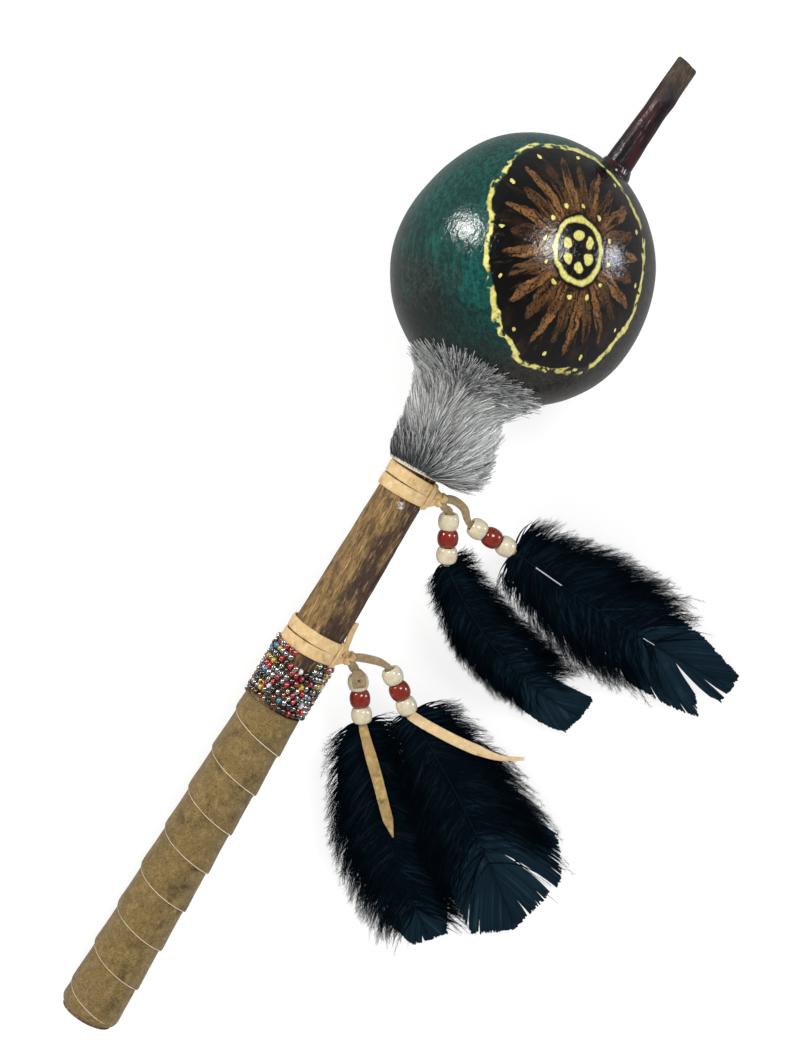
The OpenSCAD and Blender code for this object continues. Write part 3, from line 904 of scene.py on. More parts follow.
# %% Medallion colours
rays = add(tree, "ShaderNodeCombineXYZ", {
    "X": times(tree, math_node(tree, "COSINE", angle), 9.0),
    "Y": times(tree, math_node(tree, "SINE", angle), 9.0),
    "Z": times(tree, ring, 2.2),
}).outputs[0]
streak = noise_node(tree, rays, 1.7, 6.0, 0.62)
washed = noise_node(tree, place, 75, 4.0)
umber = mix(tree, smooth_step(tree, washed, 0.5, 0.7), tone(9, 8, 8), tone(36, 25, 19))
umber = mix(tree, smooth_step(tree, streak, 0.58, 0.72), umber, tone(62, 43, 29))
ochre = mix(tree, smooth_step(tree, streak, 0.36, 0.62), tone(58, 38, 24), tone(146, 102, 58))
ochre = mix(tree, smooth_step(tree, washed, 0.46, 0.66), ochre, tone(88, 57, 34))
dry = math_node(tree, "MAXIMUM", flecks, smooth_step(tree, streak, 0.46, 0.38))
ochre = mix(tree, dry, ochre, tone(22, 17, 15))
pale = mix(tree, smooth_step(tree, streak, 0.35, 0.6), tone(206, 192, 92), tone(234, 228, 140))
pale = mix(tree, times(tree, flecks, 0.35), pale, tone(120, 106, 48))
print("medallion colours:", len(tree.nodes), "nodes so far")

# %% Medallion on the shell
field = times(tree, smooth_step(tree, ring, 1.0, 0.975), front)
colour = mix(tree, field, colour, umber)
brown = mix(tree, 0.45, umber, ochre)
shaded_petals = times(tree, petals(math.pi, 0.36, 0.8, 1.1), front)
colour = mix(tree, shaded_petals, colour, brown)
colour = mix(tree, times(tree, petals(0.0, 0.34, 0.88, 2.0), front), colour, ochre)
broken = smooth_step(tree, noise_node(tree, place, 190, 4.0), 0.41, 0.49)
thick = plus(tree, ring, times(tree, less(tree, washed, 0.5), 0.1))
outline = times(tree, band(0.985, 1.03, 0.008, thick), broken)
colour = mix(tree, times(tree, outline, front), colour, pale)
hub = times(tree, math_node(tree, "MAXIMUM", band(0.25, 0.30, 0.012), dots(PETALS, 0.41, 0.022)), front)
colour = mix(tree, hub, colour, pale)
heart = times(tree, math_node(tree, "MAXIMUM", dots(6, 0.14, 0.05), dots(PETALS, 0.9, 0.02)), front)
colour = mix(tree, heart, colour, pale)
tree.links.new(colour, shader.inputs["Base Color"])
print("medallion:", len(tree.nodes), "nodes so far")

# %% Varnish
worn = cloud_mask(tree, place, 380, 0.3, 0.75)
rough = add(tree, "ShaderNodeMapRange", {"Value": worn, "To Min": 0.1, "To Max": 0.24}).outputs[0]
tree.links.new(rough, shader.inputs["Roughness"])
brush_way = stretched(tree, place, GOURD_UP, 0.6)
strokes = noise_node(tree, brush_way, 620, 3.0, 0.6)
set_bump(tree, shader, strokes, 0.00022)
gourd.data.materials.append(gourd_paint)
print("gourd paint:", len(tree.nodes), "nodes")

# %% [markdown]
# The stick
#
# The handle is a branch with its bark on, thick in the hand and bent where it enters the gourd.
# A tube of rings follows it from the butt, round the bend and out at the crown. Ridges along the
# grain are real displacement, because they show at the outline. The bark is olive-tan with dark
# purple-brown patches. The end that comes out of the crown is stained dark red, up to a bare tip.

# %% Stick sizes
HANDLE_LEN = 280
HANDLE_R = 11.8
SHOULDER_R = 9.9
SPINDLE_R = 6.2
TIP_R = 5
TIP_LEN = 25
TAPER_FROM = 187.3
BEND_AT = 331
CROWN_D = 95.82
TIP_D = 148.82
SPINDLE_WAY = Vector(mounts["stick_tip"]["axis"]).normalized()
SPINDLE_FROM = on_stick(BEND_AT)
STICK_SIDES = 72
STICK_START = 0.6
HIDDEN_STEP = 6.0
BARK_STEP = 1.3
BARK_FROM = 155
SPINDLE_STEP = 1.4
KNOB_D = 131


def handle_radius(s):
    if s > HANDLE_LEN:
        return SPINDLE_R
    return HANDLE_R + (SHOULDER_R - HANDLE_R) * max(0.0, s - TAPER_FROM) / (HANDLE_LEN - TAPER_FROM)


def spindle_radius(d):
    end = TIP_D - TIP_LEN
    if d > end:
        return TIP_R
    return SPINDLE_R + (TIP_R - SPINDLE_R) * max(0.0, d - CROWN_D) / (end - CROWN_D)


def bark(angle, run, depth):
    """Ridges along the grain, deep in some places and worn away in others."""
    around = Vector((math.cos(angle) * 2.2, math.sin(angle) * 2.2, run * 0.02))
    ridges = 1 - 2 * abs(noise.noise(Vector((around.x * 2.4, around.y * 2.4, run * 0.045))))
    fibres = noise.noise(Vector((around.x * 6, around.y * 6, run * 0.09 + 7)))
    swell = noise.noise(around * 0.7 + Vector((3, 1, 5)))
    return depth * (0.5 * ridges + 0.28 * fibres + 0.5 * swell - 0.35)


print("handle:", HANDLE_LEN, "mm, spindle:", TIP_D, "mm from the bend")

# %% Handle
stick_points = []
run = STICK_START
stations = []
while run < HANDLE_LEN:
    stations.append(run)
    run += BARK_STEP if run > BARK_FROM else HIDDEN_STEP
for s in stations + [HANDLE_LEN - 0.02, HANDLE_LEN, 300, 322]:
    radius = handle_radius(s) if s < HANDLE_LEN - 0.01 else SPINDLE_R
    depth = 0.5 if 158 < s < HANDLE_LEN - 3 else 0.0
    for k in range(STICK_SIDES):
        angle = math.tau * k / STICK_SIDES
        stick_points.append(around_stick(s, k / STICK_SIDES, radius - 0.1 + bark(angle, s, depth)))
print("handle:", len(stick_points) // STICK_SIDES, "rings")

# %% Spindle
spindle_up = (ABOVE - SPINDLE_WAY * ABOVE.dot(SPINDLE_WAY)).normalized()
spindle_right = SPINDLE_WAY.cross(spindle_up)
spindle_stations = [8, 40, 80]
spindle_stations += [90 + SPINDLE_STEP * i for i in range(int((TIP_D - 91) / SPINDLE_STEP))]
spindle_stations += [TIP_D - 0.8, TIP_D - 0.25, TIP_D]
for d in spindle_stations:
    radius = spindle_radius(d) - max(0.0, d - (TIP_D - 0.8)) * 0.7
    for k in range(STICK_SIDES):
        angle = math.tau * k / STICK_SIDES
        lump = 0.35 * math.exp(-((d - KNOB_D) / 3.0) ** 2) * max(0.0, math.cos(angle - 0.4))
        chip = 1.3 * max(0.0, math.cos(angle - 0.5)) ** 3 if d > TIP_D - 4 else 0.0
        reach = radius + bark(angle, d * 1.5 + 400, 0.3) + lump - 0.05
        slant = 1.1 * math.cos(angle - 0.6) + chip if d > TIP_D - 1 else 0.0
        side = spindle_right * math.cos(angle) + spindle_up * math.sin(angle)
        stick_points.append(SPINDLE_FROM + (SPINDLE_WAY * (d - 0.6 - slant * 0.5) + side * reach) * MM)
rows = len(stick_points) // STICK_SIDES
stick = new_piece("bark_stick", stick_points, skin(rows, STICK_SIDES))
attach(stick, "rattle")
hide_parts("stick")
print("stick:", rows, "rings")

# %% Bark
branch, tree, shader, place = new_finish("branch_wood")
local = vector_node(tree, "SUBTRACT", place, tuple(BUTT))
grain_way = (ALONG + LEFT * 0.12).normalized()
streaky = stretched(tree, local, grain_way, 0.11)
fibre = noise_node(tree, streaky, 1900, 6.0, 0.68)
broad = noise_node(tree, stretched(tree, local, ALONG, 0.42), 140, 9.0, 0.68)
olive = mix(tree, smooth_step(tree, fibre, 0.36, 0.64), tone(96, 73, 42), tone(160, 128, 80))
purple = mix(tree, smooth_step(tree, fibre, 0.4, 0.66), tone(52, 38, 31), tone(92, 70, 52))
side_mask = along_way(tree, local, LEFT * -14)
torn = times(tree, less(tree, fibre, 0.5), 0.35)
patchy = plus(tree, plus(tree, broad, side_mask), torn)
colour = mix(tree, smooth_step(tree, patchy, 0.47, 0.5), olive, mix(tree, 0.5, olive, purple))
colour = mix(tree, smooth_step(tree, patchy, 0.54, 0.56), colour, purple)
chips = noise_node(tree, stretched(tree, local, grain_way, 0.2), 520, 6.0, 0.7)
dark_chip = times(tree, smooth_step(tree, chips, 0.545, 0.575), 0.65)
light_chip = times(tree, smooth_step(tree, chips, 0.43, 0.39), 0.6)
colour = mix(tree, dark_chip, colour, tone(64, 46, 32))
colour = mix(tree, light_chip, colour, tone(178, 144, 92))
thin = noise_node(tree, stretched(tree, local, ALONG, 0.1), 900, 4.0)
colour = mix(tree, smooth_step(tree, thin, 0.62, 0.68), colour, tone(184, 148, 98))
cracks = smooth_step(tree, noise_node(tree, stretched(tree, local, ALONG, 0.06), 640, 2.0), 0.36, 0.30)
colour = mix(tree, cracks, colour, tone(40, 28, 22))
print("bark:", len(tree.nodes), "nodes so far")

# %% Stained end
beyond = along_way(tree, vector_node(tree, "SUBTRACT", place, tuple(SPINDLE_FROM)), SPINDLE_WAY)
painted_end = plus(tree, beyond, times(tree, broad, 0.03))
stain = mix(tree, smooth_step(tree, broad, 0.46, 0.62), tone(18, 15, 19), tone(58, 24, 29))
tip_wood = mix(tree, smooth_step(tree, fibre, 0.4, 0.65), tone(50, 41, 35), tone(94, 80, 65))
end_colour = mix(tree, smooth_step(tree, painted_end, 0.146, 0.154), stain, tip_wood)
drip = smooth_step(tree, painted_end, 0.122, 0.112)
end_colour = mix(tree, times(tree, drip, 0.8), end_colour, tone(14, 16, 20))
on_spindle = smooth_step(tree, beyond, 0.060, 0.064)
colour = mix(tree, on_spindle, colour, end_colour)
tree.links.new(colour, shader.inputs["Base Color"])
wet = smooth_step(tree, painted_end, 0.152, 0.142)
gloss = times(tree, on_spindle, wet)
rough = add(tree, "ShaderNodeMapRange", {"Value": gloss, "To Min": 0.8, "To Max": 0.28}).outputs[0]
tree.links.new(rough, shader.inputs["Roughness"])
drips = times(tree, noise_node(tree, place, 330, 2.0), 0.6)
lumps = add(tree, "ShaderNodeMix", {0: gloss, 2: fibre, 3: drips}).outputs[0]
set_bump(tree, shader, lumps, 0.0004)
stick.data.materials.append(branch)
print("stick finish:", len(tree.nodes), "nodes")

# %% [markdown]
# The suede grip
#
# A strip of suede winds up the handle, each turn lying over the edge of the turn before it, so
# every turn shows one thin pale cut edge. A flat texture would miss the small steps that show at
# the outline. The strip's section, eight turns of it, is carried round the stick as a helix, and
# the faces at the cut edge get the paler finish. A rounded cap of the same suede closes the butt.

# %% Suede strip
GRIP_LEN = 160
GRIP_PITCH = 20
GRIP_FROM = 4.0
GRIP_STEPS = 72
STRIP_SECTION = [
    (0.0, 13.05), (0.12, 13.42), (0.5, 13.58), (1.6, 13.6), (4, 13.48), (7.5, 13.25), (11, 13.05),
    (14.5, 12.9), (18, 12.75), (20.5, 12.68), (22, 12.3), (21.4, 11.9), (17, 11.9), (11, 11.9),
    (6.5, 12.1), (3, 12.62), (0.6, 12.7),
]
EDGE_FACES = (0, 1)
STRIP_START = 0.13
STRIP_MOST = 13.8
rings, steps = [], int((GRIP_LEN - GRIP_FROM) / GRIP_PITCH * GRIP_STEPS)
columns = len(STRIP_SECTION)
for i in range(-GRIP_STEPS, steps + 1):
    turn = i / GRIP_STEPS
    for offset, radius in STRIP_SECTION:
        s = GRIP_FROM + GRIP_PITCH * turn + offset
        angle = turn * math.tau
        soft = Vector((math.cos(angle) * 2, math.sin(angle) * 2, s * 0.06))
        ripple = 0.22 * noise.noise(soft) + 0.1 * noise.noise(soft * 3.1)
        waver = 0.7 * noise.noise(Vector((turn * 1.9, 4.0, 0.0))) if offset < 1 else 0.0
        tuck = 0.25 if s < GRIP_FROM + 0.4 else 0.0
        s = min(max(s + waver, GRIP_FROM), GRIP_LEN - 0.05)
        radius = radius + (ripple if radius > 12.4 else 0.0)
        rings.append(around_stick(s, turn + STRIP_START, min(radius, STRIP_MOST) - tuck))
faces = [tuple(reversed(face)) for face in skin(steps + 1 + GRIP_STEPS, columns)]
grip = new_piece("suede_strip", rings, faces, suede, suede_edge)
for polygon in grip.data.polygons[: (steps + GRIP_STEPS) * columns]:
    if polygon.index % columns in EDGE_FACES:
        polygon.material_index = 1
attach(grip, "rattle")
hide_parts("grip_wrap")
print("suede strip:", round(steps / GRIP_STEPS, 2), "turns")

# %% Butt cap
CAP_PROFILE = [
    (0.02, 0.25), (3, 0.2), (6, 0.15), (8.2, 0.3), (10.2, 0.8), (11.7, 1.6), (12.7, 2.6), (13.35, 3.8),
    (13.5, 5.0), (13.2, 10), (13.1, 15), (12.9, 19.6), (12.4, 19.9), (11.95, 19.6), (11.9, 12),
    (11.85, 3.5), (9, 2.0), (0.02, 1.9),
]
CAP_SIDES = 96
cap_points = []
for radius, s in CAP_PROFILE:
    for k in range(CAP_SIDES):
        angle = math.tau * k / CAP_SIDES
        soft = Vector((math.cos(angle) * 2, math.sin(angle) * 2, s * 0.1 + radius * 0.2))
        pucker = 0.2 * noise.noise(soft) + 0.12 * noise.noise(soft * 2.6)
        pucker = pucker if radius < 13.2 and s < 8 else 0.3 * pucker
        dent, bulge = (pucker, 0) if s < 2 else (0, pucker)
        cap_points.append(around_stick(s - dent, k / CAP_SIDES, radius + bulge))
cap_faces = [tuple(reversed(face)) for face in skin(len(CAP_PROFILE), CAP_SIDES)]
cap = new_piece("suede_cap", cap_points, cap_faces, suede)
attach(cap, "rattle")
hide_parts("butt_cap")
print("cap faces:", len(cap_faces))

# %% [markdown]
# Seed beads
#
# Ten rows of glass seed beads wind round the handle above the grip. There are more than three
# hundred, so Geometry Nodes place them: a spiral curve is cut into equal steps, a small ring bead
# sits on each step along the thread, and its size, tilt and colour number are random with a fixed
# seed. Soft noise makes the rows wave. A few beads have come off below the lace, so their places
# stay bare. Realizing the instances at the end keeps them as plain geometry.


# %% Geometry Nodes helpers
def new_tree(name, inputs):
    """A Geometry Nodes tree with named inputs and one geometry output."""
    tree = bpy.data.node_groups.new(name, "GeometryNodeTree")
    kinds = {float: "NodeSocketFloat", int: "NodeSocketInt", tuple: "NodeSocketVector"}
    tree.interface.new_socket("Geometry", in_out="INPUT", socket_type="NodeSocketGeometry")
    for title, value in inputs.items():
        if isinstance(value, bpy.types.Material):
            kind = "NodeSocketMaterial"
        else:
            kind = kinds[type(value)]
        tree.interface.new_socket(title, in_out="INPUT", socket_type=kind).default_value = value
    tree.interface.new_socket("Geometry", in_out="OUTPUT", socket_type="NodeSocketGeometry")
    return tree, tree.nodes.new("NodeGroupInput").outputs


def end_tree(tree, instances, material):
    """Every tree ends in plain geometry with its finish."""
    real = add(tree, "GeometryNodeRealizeInstances", {0: instances}).outputs[0]
    smooth = add(tree, "GeometryNodeSetShadeSmooth", {0: real}).outputs[0]
    dressed = add(tree, "GeometryNodeSetMaterial", {"Geometry": smooth, "Material": material}).outputs[0]
    tree.links.new(dressed, tree.nodes.new("NodeGroupOutput").inputs[0])


def settle(piece, tree, **sizes):
    """Runs a tree on a piece and keeps the result as a plain mesh."""
    runner = piece.modifiers.new(tree.name, "NODES")
    runner.node_group = tree
    for item in tree.interface.items_tree:
        if item.in_out == "INPUT" and item.name in sizes:
            runner[item.identifier] = sizes[item.name]
    ready = piece.evaluated_get(bpy.context.evaluated_depsgraph_get())
    mesh = bpy.data.meshes.new_from_object(ready)
    piece.modifiers.clear()
    old, piece.data = piece.data, mesh
    bpy.data.meshes.remove(old)
    return piece


def circle(tree, sides, radius):
    return add(tree, "GeometryNodeCurvePrimitiveCircle", {"Resolution": sides, "Radius": radius}).outputs[0]


def random_number(tree, low, high, seed):
    return add(tree, "FunctionNodeRandomValue", {2: low, 3: high, "Seed": seed}).outputs[1]


def random_vector(tree, low, high, seed):
    inputs = {0: low, 1: high, "Seed": seed}
    return add(tree, "FunctionNodeRandomValue", inputs, data_type="FLOAT_VECTOR").outputs[0]


def keep_value(tree, geometry, name, value, domain):
    """Stores a number under a name, for the finish to read."""
    inputs = {"Geometry": geometry, "Name": name, "Value": value}
    return add(tree, "GeometryNodeStoreNamedAttribute", inputs, data_type="FLOAT", domain=domain).outputs[0]


# %% Seed bead tree
BAND_FROM = 160.4
BAND_ROWS = 10
BAND_PITCH = 2.65
BEADS_PER_ROW = 33.4
BARE_PLACES = (20.8, 25.3)
BARE_ROWS = 1.6
ROW_WAVE = 0.0032
BEAD_WANDER = 0.00016
BEAD_TILT = 0.3

tree, given = new_tree("seed_bead_rows", {
    "Rows": float(BAND_ROWS), "Height": BAND_ROWS * BAND_PITCH * MM, "Ring": 0.0132,
    "Count": int(BAND_ROWS * BEADS_PER_ROW), "Bead": 0.0008, "Hole": 0.0006, "Row": BEADS_PER_ROW,
    "Bare From": BARE_PLACES[0], "Bare To": BARE_PLACES[1],
    "Bare After": (BAND_ROWS - BARE_ROWS) * BEADS_PER_ROW,
    "Turn": (0.0, 0.0, 0.0), "Place": (0.0, 0.0, 0.0), "Finish": seed_glass,
})
spiral = add(tree, "GeometryNodeCurveSpiral", {
    "Resolution": 48, "Rotations": given["Rows"], "Height": given["Height"],
    "Start Radius": given["Ring"], "End Radius": given["Ring"],
}).outputs[0]
steps = add(tree, "GeometryNodeCurveToPoints", {"Curve": spiral, "Count": given["Count"]}, mode="COUNT")
bead_ring = circle(tree, 9, given["Bead"])
bead_wall = circle(tree, 6, given["Hole"])
seed_bead = add(tree, "GeometryNodeCurveToMesh", {"Curve": bead_ring, "Profile Curve": bead_wall}).outputs[0]
seed_bead = add(tree, "GeometryNodeTransform", {"Geometry": seed_bead, "Scale": (1.0, 1.0, 1.55)}).outputs[0]
wander = random_vector(tree, (-BEAD_WANDER,) * 3, (BEAD_WANDER,) * 3, 3)
swing = noise_node(tree, add(tree, "GeometryNodeInputPosition").outputs[0], 75, 1.0)
swing = times(tree, less(tree, swing, 0.5), ROW_WAVE)
swing = add(tree, "ShaderNodeCombineXYZ", {"Z": swing}).outputs[0]
offset = vector_node(tree, "ADD", wander, swing)
shifted = {"Geometry": steps.outputs[0], "Offset": offset}
steps_moved = add(tree, "GeometryNodeSetPosition", shifted).outputs[0]
thread_way = {"Vector": steps.outputs["Tangent"]}
along_thread = add(tree, "FunctionNodeAlignRotationToVector", thread_way, axis="Z").outputs[0]
sizes = random_number(tree, 0.94, 1.14, 5)
number = add(tree, "GeometryNodeInputIndex").outputs[0]
in_row = math_node(tree, "MODULO", number, given["Row"])
after = math_node(tree, "GREATER_THAN", in_row, given["Bare From"])
before = math_node(tree, "LESS_THAN", in_row, given["Bare To"])
lost = times(tree, after, before)
lost = times(tree, lost, math_node(tree, "GREATER_THAN", number, given["Bare After"]))
placed = add(tree, "GeometryNodeInstanceOnPoints", {
    "Points": steps_moved, "Instance": seed_bead, "Rotation": along_thread, "Scale": sizes,
    "Selection": math_node(tree, "LESS_THAN", lost, 0.5),
}).outputs[0]
tip_over = random_vector(tree, (-BEAD_TILT,) * 3, (BEAD_TILT,) * 3, 8)
placed = add(tree, "GeometryNodeRotateInstances", {"Instances": placed, "Rotation": tip_over}).outputs[0]
pick = random_number(tree, 0.0, 1.0, 26)
placed = keep_value(tree, placed, "pick", pick, "INSTANCE")
placed = add(tree, "GeometryNodeTransform", {
    "Geometry": placed, "Translation": given["Place"], "Rotation": given["Turn"],
}).outputs[0]
end_tree(tree, placed, given["Finish"])
print("seed bead tree:", len(tree.nodes), "nodes")

# %% Seed bead band
band_turn = Matrix((LEFT, ABOVE, ALONG)).transposed()
seed_band = new_piece("seed_beads", [tuple(on_stick(BAND_FROM))], [])
settle(seed_band, tree, Place=tuple(on_stick(BAND_FROM)), Turn=tuple(band_turn.to_euler()))
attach(seed_band, "rattle")
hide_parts("seed_bead_band")
print("seed beads:", len(seed_band.data.polygons), "faces")

# %% [markdown]
# Wraps and knots
#
# At each pair of drops a pale lace goes twice round the stick, passes through a keeper loop on
# the right, and is knotted. The turns are flat ribbons with a dark line where they meet. The knot
# is a trefoil, the simplest closed path that crosses itself like an overhand knot, drawn small
# with the same flat section so that its strands bulge past each other.

# %% Wrap helpers
TURN_W = 5.5
WRAP_T = 1.2
WRAP_SIDES = 96
KEEPER_TURN = 0.055
KNOT_STEPS = 72
KNOT_SIZE = 0.84
WRAPS = {"lower": (187.3, 198.7), "upper": (265.2, 276.6)}


def ring_noise(angle, spread, run):
    """Soft noise around a ring, which meets itself where the ring closes."""
    return noise.noise(Vector((math.cos(angle) * spread, math.sin(angle) * spread, run)))


def wrap_turn(s_mid, slant, lift):
    """One closed turn of lace around the stick."""
    path, facing = [], []
    for k in range(WRAP_SIDES):
        angle = math.tau * k / WRAP_SIDES
        radius = handle_radius(s_mid) + 0.15 + WRAP_T / 2 + lift
        radius += 0.16 * ring_noise(angle, 2, s_mid)
        s = s_mid + slant * math.cos(angle) + 0.12 * ring_noise(angle, 3, s_mid)
        path.append(around_stick(s, k / WRAP_SIDES, radius))
        facing.append((path[-1] - on_stick(s)).normalized())
    return path, facing


def closed_ribbon(path, facing, width, thick):
    """Rings of a strip that runs back into itself."""
    count = len(path)
    looped = [path[-1]] + path + [path[0]]
    sides = [facing[-1]] + facing + [facing[0]]
    rings = ribbon_rings(looped, sides, [width * MM] * (count + 2), [thick * MM] * (count + 2))
    return rings[LACE_CORNERS:-LACE_CORNERS], ring_skin(count, LACE_CORNERS)


def joined(name, parts, material):
    """One piece from several lists of points and faces."""
    points, faces = [], []
    for part_points, part_faces in parts:
        faces += [tuple(index + len(points) for index in face) for face in part_faces]
        points += part_points
    return new_piece(name, points, faces, material)


def strap(points, facing, widths, thick):
    """A short open strip with rounded edges."""
    path = evenly(smooth_path(points, 10), 24)
    spans = [i / (len(path) - 1) for i in range(len(path))]
    sides = [facing(point) for point in path]
    rings = ribbon_rings(path, sides, [between(widths, t) * MM for t in spans], [thick * MM] * len(path))
    return rings, skin(len(path), LACE_CORNERS)


# %% Lace wraps and knots
def lace_wrap(level):
    """Two turns of lace with their keeper, and the knot beside them."""
    low, high = WRAPS[level]
    d = DROPS.index(level + "_left")
    first = closed_ribbon(*wrap_turn(low + TURN_W / 2 + 0.1, 0.25, 0.0), TURN_W - 0.1, WRAP_T)
    second = closed_ribbon(*wrap_turn(high - TURN_W / 2 - 0.1, -0.25, 0.06), TURN_W - 0.1, WRAP_T)
    radius = handle_radius(low) + 0.15 + WRAP_T
    keeper_run = [(low - 0.1, -0.9), (low + 0.5, 0.1), (low + 4, 0.4),
                  (high - 4, 0.4), (high - 0.5, 0.1), (high + 0.1, -0.9)]
    keeper_points = [around_stick(s, KEEPER_TURN, radius + rise) for s, rise in keeper_run]
    outward = around_stick(low, KEEPER_TURN, 1) - on_stick(low)
    keeper = strap(keeper_points, lambda point: outward, [(0, 3.6), (0.5, 4.6), (1, 3.6)], 1.0)
    parts = [first, second, keeper]
    if level == "lower":
        loose_run = [(high - 3, 0.9), (high + 1, 0.1), (high + 5, -0.7), (high + 10, -0.9)]
        end_points = [around_stick(s, 0.0, radius + rise) for s, rise in loose_run]
        end_widths = [(0, 3.2), (0.6, 4.2), (1, 3.0)]
        parts.append(strap(end_points, lambda point: ABOVE * 0.6 - LEFT, end_widths, 1.0))
    wrap = joined(level + "_wrap", parts, lace_skin)
    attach(wrap, "rattle")
    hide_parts(level + "_lace_wrap")
    knot_path, facing = [], []
    for k in range(KNOT_STEPS):
        t = math.tau * k / KNOT_STEPS
        loop_x = math.sin(t) + 2 * math.sin(2 * t)
        loop_y = math.cos(t) - 2 * math.cos(2 * t)
        loop = Vector((loop_x, loop_y, -1.6 * math.sin(3 * t))) * KNOT_SIZE
        knot_path.append(KNOTS[d] + (ALONG * loop.x * 1.05 + LEFT * -loop.y * 0.92 + ABOVE * loop.z) * MM)
        facing.append((knot_path[-1] - KNOTS[d]).normalized() + ABOVE * 0.4)
    lead_points = [around_stick((low + high) / 2 + shift, 0.01, radius - 0.4) for shift in (3.2, -3.2)]
    lead_points.insert(1, KNOTS[d] - LEFT * 0.3 * MM)
    lead = strap(lead_points, lambda point: ABOVE - LEFT * 0.4, [(0, 3.4), (0.5, 2.6), (1, 3.4)], 1.3)
    knot = joined(level + "_knot", [closed_ribbon(knot_path, facing, 2.7, 1.4), lead], lace_skin)
    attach(knot, "rattle")
    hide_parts(level + "_lace_knot")
    return wrap, knot


def folded_end():
    """The cut end of a lace, folded down over the first bead of the lower left drop, with its stitch."""
    d = DROPS.index("lower_left")
    fold_run = [(-2.2, 1.6), (-0.8, 3.9), (1.2, 5.2), (3.4, 5.35), (4.8, 5.0)]
    points = [on_drop(d, bead_place(d, place), rise) for place, rise in fold_run]
    fold = strap(points, lambda point: DROP_UP[d], [(0, 3.2), (0.3, 6.0), (0.8, 6.4), (1, 5.4)], 0.9)
    way = turned(BEAD_TURN[d])
    across = Vector((-way[1], way[0]))
    threads = []
    for hand in (-1, 1):
        places = [bead_place(d, 1.7) + (way + across * hand) * 0.6 * k for k in (-1, 0, 1)]
        points = [on_drop(d, place, 5.75 + 0.2 * k * k) for place, k in zip(places, (1, 0, 1))]
        threads.append(strap(points, lambda point: DROP_UP[d], [(0, 0.3), (1, 0.3)], 0.3))
    pieces = [joined("lower_left_fold", [fold], lace_worn), joined("lower_left_stitch", threads, thread)]
    for piece in pieces:
        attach(piece, "lower_left_drop")
    return pieces


knotted = [lace_wrap(level) for level in WRAPS]
fold = folded_end()
print("wraps and knots:", [piece.name for pair in knotted for piece in pair])

# %% [markdown]
# The fur collar
#
# A strip of grey rabbit fur is wound around the neck of the gourd, with its pale skin showing as
# a thin line at the bottom. The hair lies up over the gourd and bulges on the right, where the
# strip ends. Thousands of hairs could be a particle system, but Geometry Nodes leave a plain mesh:
# the skin carries a direction and a length at every point, and one bent, tapered hair is placed at
# each random spot on it. Soft underfur comes first and long silver-tipped guard hairs over it.

# %% Fur places
FUR_LOW = -93.0
FUR_SIDES = 120
FUR_ROWS = 32


def gourd_side(g):
    if g < HOLLOW_G:
        return NECK_R
    if g < GOURD_R * math.sin(BELLY_FROM):
        return HOLLOW_X - math.sqrt(NECK_CURVE ** 2 - (g - HOLLOW_G) ** 2)
    return math.sqrt(GOURD_R ** 2 - g * g)


def fur_level(turn, share):
    """Height of a share of the strip, whose upper edge is high in front and low on the left."""
    left = max(0.0, -math.cos(turn * math.tau))
    top = -55 + 10 * max(0.0, math.sin(turn * math.tau)) - 6 * left ** 2
    return FUR_LOW + (top - FUR_LOW) * share


def fur_skin_place(g, turn):
    """The skin hugs the neck and swells on the right, where the strip overlaps itself."""
    right = max(0.0, math.cos(turn * math.tau - 0.25))
    fold = 7.5 * math.exp(-((g + 81) / 14) ** 4) * right ** 1.4
    fold += 2.0 * math.exp(-((g + 60) / 7) ** 2) * right
    ripple = 0.5 * ring_noise(turn * math.tau, 2, g * 0.12)
    tuck = min(1.0, (g - FUR_LOW) / 3)
    return on_gourd(g, turn, gourd_side(g) + 0.9 + tuck * (fold + ripple))


print("fur from", FUR_LOW, "to", round(fur_level(0.25, 1.0), 1), "mm on the gourd")

# %% Fur skin
skin_points = []
lining = []
for i in range(FUR_ROWS + 1):
    for turn in [k / FUR_SIDES for k in range(FUR_SIDES)]:
        g = fur_level(turn, i / FUR_ROWS)
        skin_points.append(fur_skin_place(g, turn))
        lining.append(on_gourd(g, turn, gourd_side(g) + 0.2))
faces = skin(FUR_ROWS + 1, FUR_SIDES, caps=False)
inside = skin(FUR_ROWS + 1, FUR_SIDES, first=len(skin_points), caps=False)
inside = [tuple(reversed(face)) for face in inside]
edges = []
top = FUR_ROWS * FUR_SIDES
for k in range(FUR_SIDES):
    a, b = k, (k + 1) % FUR_SIDES
    edges.append((b, a, a + len(skin_points), b + len(skin_points)))
    edges.append((top + a, top + b, top + b + len(skin_points), top + a + len(skin_points)))

underfur = cloudy_finish("underfur", tone(70, 72, 74), tone(112, 114, 115), (500, 0.35, 0.65),
                         (1500, 0.3, 0.0004), Roughness=0.9, Sheen_Weight=0.2)
fur_skin = new_piece("fur_skin", skin_points + lining, faces + inside + edges, underfur, hide_skin)
for polygon in fur_skin.data.polygons:
    if polygon.index < FUR_SIDES or polygon.index >= len(faces):
        polygon.material_index = 1
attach(fur_skin, "rattle")
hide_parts("fur_hide")
print("fur skin:", len(fur_skin.data.polygons), "faces")

